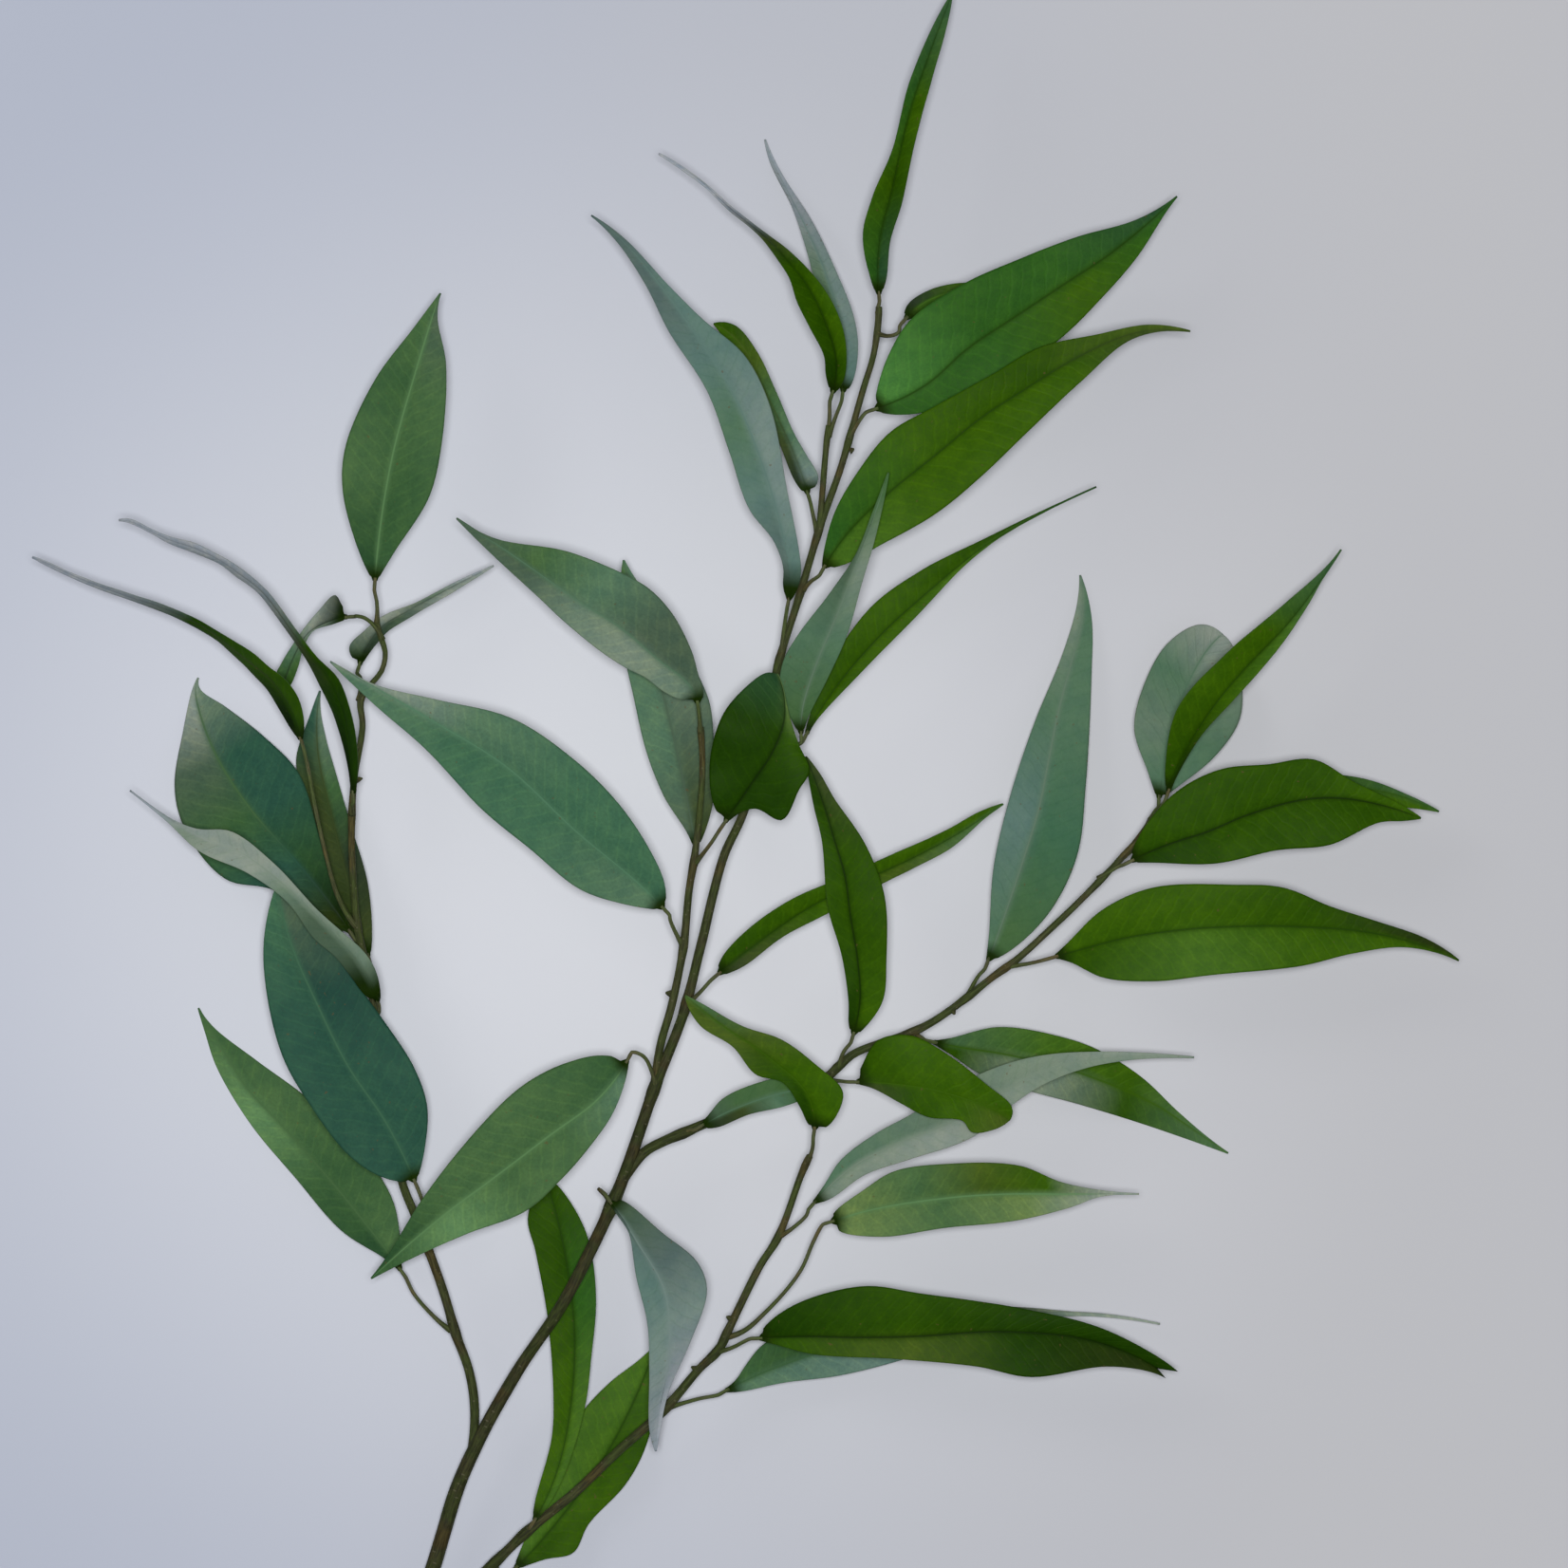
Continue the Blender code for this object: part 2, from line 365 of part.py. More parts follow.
# The woody parts, thick end first: centre line as (x, y, height) and radii in mm spread along it
TWIGS = {
    "main_stem": Twig(
        path=[(362, 1950, 2.58), (410, 1795, 7), (456, 1652, 12), (489, 1550, 16), (545, 1445, 22),
              (590, 1378, 27), (625, 1312, 30), (655, 1245, 33), (690, 1145, 36), (720, 1068, 37),
              (738, 998, 38), (763, 901, 38), (782, 860, 38), (800, 800, 38), (820, 700, 38),
              (841, 632, 38), (865, 552, 39), (886, 492, 39), (908, 415, 39), (921, 371, 39),
              (926, 323, 40)],
        radii=[2.8, 2.7, 2.6, 2.0, 2.2, 1.7, 1.5, 1.35, 1.2, 1.0], sides=STEM_SIDES),
    "upper_left_twig": Twig(
        path=[(690, 1140, 36), (696, 1100, 37.5), (707, 1062, 38.5), (720, 998, 39), (726, 938, 39),
              (732, 901, 39), (738, 847, 39.5), (740, 808, 40), (738, 766, 41)],
        radii=[1.4, 1.4, 1.3, 1.1, 1.0], sides=TWIG_SIDES),
    "left_twig": Twig(
        path=[(494, 1545, 16), (500, 1500, 17), (499, 1470, 18), (493, 1440, 19), (480, 1405, 20),
              (470, 1370, 21), (460, 1340, 22), (448, 1308, 23), (437, 1280, 24), (423, 1243, 25),
              (410, 1170, 26), (398, 1095, 27), (389, 1030, 29), (378, 985, 31), (371, 905, 32),
              (371, 850, 32), (374, 815, 32), (382, 765, 33), (380, 738, 34), (391, 721, 35),
              (402, 707, 36), (406, 688, 36), (400, 668, 36), (397, 655, 36)],
        radii=[1.6, 1.6, 1.5, 1.3, 1.2, 1.2, 1.1, 0.8], sides=TWIG_SIDES),
    "middle_twig": Twig(
        path=[(651, 1253, 32.6), (664, 1232, 33), (680, 1213, 33), (700, 1202, 32.5), (722, 1193, 31.5),
              (745, 1183, 29.5), (770, 1175, 27.5), (805, 1164, 26), (840, 1151, 26),
              (868, 1138, 28.5), (885, 1122, 29.5), (900, 1110, 30), (925, 1100, 30),
              (960, 1088, 30), (985, 1075, 30), (1020, 1050, 30), (1045, 1030, 30),
              (1070, 1012, 30), (1100, 985, 30), (1140, 947, 30), (1185, 900, 30), (1205, 876, 29),
              (1212, 864, 28)],
        radii=[1.8, 1.7, 1.5, 1.4, 1.3, 1.2, 1.1, 0.9], sides=TWIG_SIDES),
    "low_twig": Twig(
        path=[(436, 1712, 10), (470, 1690, 12), (515, 1652, 14.5), (557, 1612, 17), (605, 1573, 19),
              (650, 1530, 20), (700, 1485, 21), (736, 1443, 23), (757, 1422, 24), (768, 1400, 24.5),
              (800, 1335, 25.5), (820, 1303, 26), (844, 1238, 31), (853, 1218, 34)],
        radii=[1.7, 1.7, 1.6, 1.6, 1.4, 1.3, 1.1], sides=TWIG_SIDES),
    "top_twig": Twig(
        path=[(863, 560, 39), (867, 512, 40), (870, 476, 41), (873, 448, 41.3)],
        radii=[1.1, 1.1, 0.9], sides=TWIG_SIDES),
}

BARK = (0.13, 0.10, 0.045, 1)
LEAF_GREEN = (0.05, 0.16, 0.03, 1)
UNDERSIDE = (0.30, 0.40, 0.30, 1)


def spot(x, y, height=0.0):
    """The point in metres that the view shows at pixel x, y, this many mm above the surface."""
    shrink = PIXEL * (1 - height * MM / VIEW_HEIGHT)
    middle = VIEW_PIXELS / 2
    return np.array([(x - middle) * shrink, (middle - y) * shrink, height * MM])


def smooth_curve(points, shares):
    """Points at the given shares of the length of a smooth curve through the given points."""
    points = np.array(points, float)
    steps = np.sqrt(np.linalg.norm(np.diff(points, axis=0), axis=1))
    knots = np.concatenate([[0], np.cumsum(steps)])
    slopes = np.gradient(points, knots, axis=0, edge_order=min(2, len(points) - 1))
    dense = []
    for start in range(len(points) - 1):
        span = knots[start + 1] - knots[start]
        for part in np.linspace(0, 1, CURVE_PARTS, endpoint=False):
            square, cube = part ** 2, part ** 3
            dense.append((2 * cube - 3 * square + 1) * points[start]
                         + (cube - 2 * square + part) * span * slopes[start]
                         + (3 * square - 2 * cube) * points[start + 1]
                         + (cube - square) * span * slopes[start + 1])
    dense.append(points[-1])
    dense = np.array(dense)
    lengths = np.concatenate([[0], np.cumsum(np.linalg.norm(np.diff(dense, axis=0), axis=1))])
    wanted = np.array(shares) * lengths[-1]
    return np.stack([np.interp(wanted, lengths, axis) for axis in dense.T], axis=1)


def unit(vector):
    return vector / np.linalg.norm(vector)


def rib_curve(form, shares):
    """Points on a leaf's rib in metres, before the narrowing of the view with height."""
    flat = [spot(x, y) + (0, 0, height * MM) for x, y, height in form.rib]
    return smooth_curve(flat, shares)


def edge_pixels(form, side):
    """One edge of a leaf in pixels, from beside its base to beside its tip. side is 1 for left."""
    rib = np.array(form.rib, float)[:, :2]
    ends = smooth_curve(rib, [0, END_SHARE, 1 - END_SHARE, 1])
    near_base, near_tip = np.diff(ends, axis=0)[::2]
    first, last = unit(near_base), unit(near_tip)
    base = rib[0] + side * BASE_HALF_WIDTH * np.array([first[1], -first[0]])
    tip = rib[-1] + side * TIP_HALF_WIDTH * np.array([last[1], -last[0]])
    if form.prongs:
        tip = form.prongs[0 if side > 0 else 1]
    listed = form.left if side > 0 else form.right
    return [tuple(base)] + listed + [tuple(tip)]


def blade_middle(name, form, shares):
    """The middle surface of a leaf: its left edge, rib and right edge at the given shares."""
    shares = np.array(shares)
    rib = rib_curve(form, shares)
    rib[:, 2] = np.maximum(rib[:, 2], LOWEST_RIB * MM)
    along = np.gradient(rib[:, :2], axis=0)
    along /= np.linalg.norm(along, axis=1, keepdims=True)
    forward = along[0]
    turn = int(name[-2:]) * WAVE_TURN
    twist = np.minimum(shares / TWIST_END, 1)
    rows = []
    for side, which in ((1, 0), (-1, 1)):
        edge = smooth_curve([spot(*point) for point in edge_pixels(form, side)], shares)
        outward = side * np.stack([-along[:, 1], along[:, 0]], axis=1)
        width = ((edge - rib)[:, :2] * outward).sum(axis=1)
        short = np.maximum(TIP_HALF_WIDTH * PIXEL - width, 0)
        edge[:, :2] += outward * short[:, None]
        ahead = ((edge - rib[0])[1:, :2] * forward).sum(axis=1)
        edge[1:, :2] += forward * np.maximum(NECK - ahead, 0)[:, None]
        reach = np.linalg.norm(edge[:, :2] - rib[:, :2], axis=1)
        base_rise, tip_rise = form.rise[0][which], form.rise[1][which]
        slope = np.tan(np.radians(base_rise + (tip_rise - base_rise) * twist))
        sway = np.sin(2 * math.pi * WAVE_COUNT * shares + turn + which * EDGES_APART)
        swell = np.minimum(1, reach / WAVE_REACH) * form.wave * WAVE_HEIGHT
        edge[:, 2] = np.maximum(rib[:, 2] + reach * slope + sway * swell, LOWEST_RIB * MM)
        rows.append(edge)
    sheet = np.stack([rows[0], rib, rows[1]], axis=1)
    sheet[:, :, :2] *= (1 - sheet[:, :, 2:] / VIEW_HEIGHT)
    return sheet


def sheet_normals(sheet):
    """The upward normals of a sheet of points, by the directions to its neighbours."""
    along = np.gradient(sheet, axis=0)
    across = np.gradient(sheet, axis=1)
    normals = np.cross(across, along)
    return normals / np.linalg.norm(normals, axis=2, keepdims=True)


def blade_mesh(name, form):
    """A closed blade of even thickness, split into triangles alike on both faces."""
    steps = np.arange(STATIONS + 1) / STATIONS
    shares = EVEN_SHARE * steps + (1 - EVEN_SHARE) * (1 - np.cos(math.pi * steps)) / 2
    sheet = blade_middle(name, form, shares)
    offset = sheet_normals(sheet) * BLADE_THICKNESS / 2
    upper, lower = sheet + offset, sheet - offset
    mesh = bmesh.new()
    top = [[mesh.verts.new(point) for point in row] for row in upper]
    bottom = [[mesh.verts.new(point) for point in row] for row in lower]
    for row in range(STATIONS):
        for column in (0, 1):
            for face in (top, bottom):
                corner, beside = face[row][column], face[row][column + 1]
                ahead, across = face[row + 1][column], face[row + 1][column + 1]
                mesh.faces.new((corner, beside, across))
                mesh.faces.new((corner, across, ahead))
        for column in (0, 2):
            mesh.faces.new((top[row][column], top[row + 1][column], bottom[row + 1][column],
                            bottom[row][column]))
    for row in (0, STATIONS):
        for column in (0, 1):
            mesh.faces.new((top[row][column], top[row][column + 1], bottom[row][column + 1],
                            bottom[row][column]))
    bmesh.ops.recalc_face_normals(mesh, faces=mesh.faces)
    return finished_mesh(mesh, name)


def finished_mesh(mesh, name):
    data = bpy.data.meshes.new(name)
    mesh.to_mesh(data)
    mesh.free()
    return data


def tube_mesh(name, centres, radii, sides):
    """A closed tube round a line of centres, with a flat side down."""
    mesh = bmesh.new()
    rings = []
    tangents = np.gradient(centres, axis=0)
    for centre, radius, tangent in zip(centres, radii, tangents):
        forward = Vector(tangent).normalized()
        sideways = forward.cross(Vector((0, 0, 1))).normalized()
        upward = sideways.cross(forward)
        ring = []
        for side in range(sides):
            angle = 2 * math.pi * (side + 0.5) / sides - math.pi / 2
            outward = sideways * math.cos(angle) + upward * math.sin(angle)
            ring.append(mesh.verts.new(Vector(centre) + outward * radius))
        rings.append(ring)
    for near, far in zip(rings, rings[1:]):
        for side in range(sides):
            following = (side + 1) % sides
            mesh.faces.new((near[side], near[following], far[following], far[side]))
    mesh.faces.new(rings[0])
    mesh.faces.new(rings[-1])
    bmesh.ops.recalc_face_normals(mesh, faces=mesh.faces)
    return finished_mesh(mesh, name)


def tube_along(name, points, radii, sides, step):
    """A tube through points in metres, with a ring about every step and radii spread along it."""
    points = np.array(points)
    length = np.linalg.norm(np.diff(points, axis=0), axis=1).sum()
    shares = np.linspace(0, 1, max(3, round(length / step) + 1))
    widths = np.interp(shares, np.linspace(0, 1, len(radii)), np.array(radii) * MM)
    return tube_mesh(name, smooth_curve(points, shares), widths, sides)


def stalk_points(form):
    """A leaf stalk's points, ending in line with the leaf and a small gap short of it."""
    base, further = rib_curve(form, [0, END_SHARE])
    forward = unit(further - base)
    base[:2] *= 1 - base[2] / VIEW_HEIGHT
    path = [spot(*point) for point in form.stalk]
    return path + [base - forward * short for short in (*STALK_APPROACH, SEAT_GAP)]


def placed(name, data, material):
    made = bpy.data.objects.new(name, data)
    made.data.materials.append(material)
    bpy.context.scene.collection.objects.link(made)
    return made


def plain_material(name, colour, roughness):
    material = bpy.data.materials.new(name)
    material.use_nodes = True
    shader = material.node_tree.nodes["Principled BSDF"]
    shader.inputs["Base Color"].default_value = colour
    shader.inputs["Roughness"].default_value = roughness
    shader.inputs["Metallic"].default_value = 0.0
    return material


def joined_stem(material):
    """The main stem with its twigs and leaf stalks as one solid."""
    tubes = []
    for name, twig in TWIGS.items():
        path = [spot(*point) for point in twig.path]
        data = tube_along(name, path, twig.radii, twig.sides, RING_STEP)
        tubes.append(placed(name, data, material))
    for name, form in LEAVES.items():
        radii = [STALK_RADIUS * STALK_FLARE, STALK_RADIUS]
        data = tube_along(name + "_stalk", stalk_points(form), radii, STALK_SIDES, STALK_RING_STEP)
        tubes.append(placed(name + "_stalk", data, material))
    stem = tubes[0]
    stem.name = "stem"
    others = bpy.data.collections.new("stem_tubes")
    for tube in tubes[1:]:
        others.objects.link(tube)
    union = stem.modifiers.new("joined", "BOOLEAN")
    union.operation = "UNION"
    union.operand_type = "COLLECTION"
    union.collection = others
    union.solver = "EXACT"
    union.use_self = True
    whole = stem.evaluated_get(bpy.context.evaluated_depsgraph_get())
    joined = bpy.data.meshes.new_from_object(whole)
    stem.modifiers.clear()
    stem.data = joined
    for tube in tubes[1:]:
        bpy.data.objects.remove(tube, do_unlink=True)
    bpy.data.collections.remove(others)
    return stem


def centred_on_the_surface(objects):
    """Moves the whole branch so that its box stands on the origin, centred in plan."""
    corners = np.array([vertex.co for made in objects for vertex in made.data.vertices])
    low, high = corners.min(axis=0), corners.max(axis=0)
    shift = Vector((-(low[0] + high[0]) / 2, -(low[1] + high[1]) / 2, -low[2]))
    for made in objects:
        for vertex in made.data.vertices:
            vertex.co += shift


def build():
    for old in list(bpy.data.objects):
        bpy.data.objects.remove(old, do_unlink=True)
    bark = plain_material("bark", BARK, BARK_ROUGHNESS)
    green = plain_material("leaf", LEAF_GREEN, LEAF_ROUGHNESS)
    grey = plain_material("leaf_underside", UNDERSIDE, UNDERSIDE_ROUGHNESS)
    objects = [joined_stem(bark)]
    for name, form in LEAVES.items():
        objects.append(placed(name, blade_mesh(name, form), grey if form.pale else green))
    centred_on_the_surface(objects)


build()
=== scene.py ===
"""The looks of a lemon-scented gum branch that lies on a surface.

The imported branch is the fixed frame. Each leaf is made again with more points, a midrib, an arched
and puckered blade and thin edges, and the stem with rounder twigs, swollen joints, buds and a cut
end. Plan positions are pixels of the upright view, x to the right and y down, and heights are
millimetres above the surface. spot() turns both into metres.
"""
import math
from collections import namedtuple

import bpy
import numpy as np
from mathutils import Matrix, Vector, noise


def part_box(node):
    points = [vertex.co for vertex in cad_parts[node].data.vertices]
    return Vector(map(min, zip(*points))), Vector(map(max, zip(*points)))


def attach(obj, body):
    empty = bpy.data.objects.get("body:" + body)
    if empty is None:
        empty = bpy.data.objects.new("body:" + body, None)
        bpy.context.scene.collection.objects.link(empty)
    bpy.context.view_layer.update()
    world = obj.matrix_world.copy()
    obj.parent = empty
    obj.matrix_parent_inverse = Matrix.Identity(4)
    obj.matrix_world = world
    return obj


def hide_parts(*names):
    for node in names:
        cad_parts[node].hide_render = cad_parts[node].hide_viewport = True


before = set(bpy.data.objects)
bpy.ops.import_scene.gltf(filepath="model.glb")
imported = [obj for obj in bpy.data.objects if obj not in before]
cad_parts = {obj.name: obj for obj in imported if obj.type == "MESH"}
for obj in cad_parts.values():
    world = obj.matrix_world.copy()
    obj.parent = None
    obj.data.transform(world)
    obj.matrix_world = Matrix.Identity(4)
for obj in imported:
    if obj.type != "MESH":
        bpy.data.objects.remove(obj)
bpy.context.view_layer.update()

# The view and the solids, as in the frame
VIEW_WIDTH = 0.5507  # metres across the whole view
VIEW_PIXELS = 1652
VIEW_HEIGHT = 3.0  # the lines of sight meet this far above the surface
BLADE_THICKNESS = 0.0007
SEAT_GAP = 0.00045  # between a leaf's solid and its stalk's
NECK = 0.0014  # a blade widens only this far ahead of its stalk
STATIONS = 14  # rings of points along a leaf's solid
EVEN_SHARE = 0.6  # how evenly they are spaced: 0 crowds them at both ends
TWIST_END = 0.72  # share of a leaf's length at which its halves reach their rise at the tip
WAVE_HEIGHT = 0.0008  # rise and fall of a leaf's edges
WAVE_COUNT = 2.6
WAVE_REACH = 0.008  # an edge this far from the rib has the whole wave
WAVE_TURN = 2.4  # radians from one leaf's wave to the next one's
EDGES_APART = 1.3  # radians between the waves of a leaf's two edges
BASE_HALF_WIDTH = 2.4  # pixels
TIP_HALF_WIDTH = 1.0  # pixels
STALK_APPROACH = (0.0032, 0.0016)  # a stalk's last points, in line with its leaf
CURVE_PARTS = 16  # straight parts between two points of a smooth curve
END_SHARE = 0.02  # share of a rib's length that tells which way its end points

# Fine form of the leaves
LENGTH_PARTS = 64
RIB_REACHES = (0.00035, 0.0009)  # from the rib, of the two columns that shape it
BLADE_COLUMNS = (0.2, 0.4, 0.6, 0.8, 0.94, 1.0)  # the others, as shares of the way to the edge
BLADE_BODY = 0.00042  # thickness beside the rib
BLADE_RIM = 0.00016  # thickness at the edge
RIB_RIDGE = 0.0005  # how far the rib stands out of the underside at the stalk
RIB_GROOVE = 0.00014  # how far it is sunk in the upper side
ARCH = 0.035  # crown of each half, as a share of its width
PUCKER = 0.00028  # dents and swellings of the blade
PUCKER_LENGTH = 0.011
PUCKER_WIDTH = 0.007
EDGE_RIPPLE = 0.0002
RIPPLE_LENGTH = 0.009
WIDE_HALF = 7.0  # mm: the rib's paint narrows where half a leaf is narrower than this
# Bud scars: foot on a twig and lean, in pixels
NUBS = [((572, 1410, 25.2), (-7, -4)), ((735, 1443, 22.8), (-7, -3)), ((771, 1390, 24.7), (-6, -3)),
        ((374, 822, 32), (8, -2)), ((707, 1047, 38.6), (-6, -1)), ((1003, 1063, 30), (3, 6)),
        ((484, 1415, 19.6), (-5, -3)), ((895, 475, 39), (5, -2))]
NUB_RADII = (1.3, 1.1, 0.75, 0.3)  # mm
FLOOR_CLEARANCE = 0.00002  # metres by which the looks stay above the surface
NEAR_RIB_SHARES = (0.12, 0.3)  # RIB_REACHES are at most these shares of a narrow half
FADE_END = 0.02  # share of the length at each end where the relief is at its least
FADE_CURVE = 0.5  # how quickly it grows from there
PUCKER_TURN = 3.7  # sets one leaf's dents apart from the next one's
RIPPLE_TURN = 5.1  # the same for its ripples
RIPPLE_SIDES = 5  # sets the ripples of a leaf's two edges apart
FLAT_LEAF_LIFT = 0.3  # share of the relief on a leaf that lies on the surface
RIM_CURVE = 3  # a blade thins mostly near its edge
RIB_TAPER = 0.7  # how the rib's ridge fades from stalk to tip
GROOVE_TAPER = 0.5  # the same for the groove, as a share of that
RIB_ROUND = 1.5  # above 1, the ridge and the groove have a sharper middle
LEAF_APART = 0.05  # metres between leaves where the textures are read

# Fine form of the stem
STEM_SIDES = 18
TWIG_SIDES = 14
STALK_SIDES = 10
RING_STEP = 0.0022
STALK_RING_STEP = 0.0011
STALK_RADII = (1.15, 0.85, 0.72, 0.68, 0.66, 0.66, 0.68, 0.6)  # mm, from its twig to its leaf
STALK_RUN_ON = 0.0012  # how far the stalk runs on under its leaf
BARK_ROUGH = 0.05  # unevenness of a twig's radius, as a share of it
JOINT_SWELL = 0.22  # how much thicker a twig is where a stalk leaves it
JOINT_LENGTH = 0.0035
FEWEST_RINGS = 4
LUMP_LENGTH = 0.012  # metres between lumps along a twig
LUMPS_ROUND = 1.6  # how closely lumps follow each other round it
LUMP_TURN = 4.7  # sets one twig's lumps apart from the next one's
BARK_TURN = 2.0  # the same for its bark
STALKS_FROM = 10  # numbers of the first stalk and the first nub among the twigs
NUBS_FROM = 60
BARK_RADIUS = 2.0  # mm: wood as thick as this is brown
BARK_FADE = 1.1  # mm thinner, and it is olive

MM = 0.001
PIXEL = VIEW_WIDTH / VIEW_PIXELS
LOWEST_RIB = BLADE_THICKNESS / 2 / MM  # mm, the middle of a blade that lies flat on the surface

Leaf = namedtuple("Leaf", "rib left right rise stalk pale wave prongs")
Twig = namedtuple("Twig", "path radii")


def leaf(rib, left, right, stalk, rise=(10, 10), tip_rise=None, pale=False, wave=1.0,
         prongs=None):
    """rib runs from base to tip as (x, y, height); left and right are the leaf's two edges as seen
    from above by one who walks from base to tip. rise is how steeply each half climbs from the rib,
    in degrees, and tip_rise is the same at the tip. stalk starts inside the twig that carries it.
    prongs are the ends of the left and right edges of a leaf with a forked tip."""
    return Leaf(rib, left, right, (rise, tip_rise or rise), stalk, pale, wave, prongs)


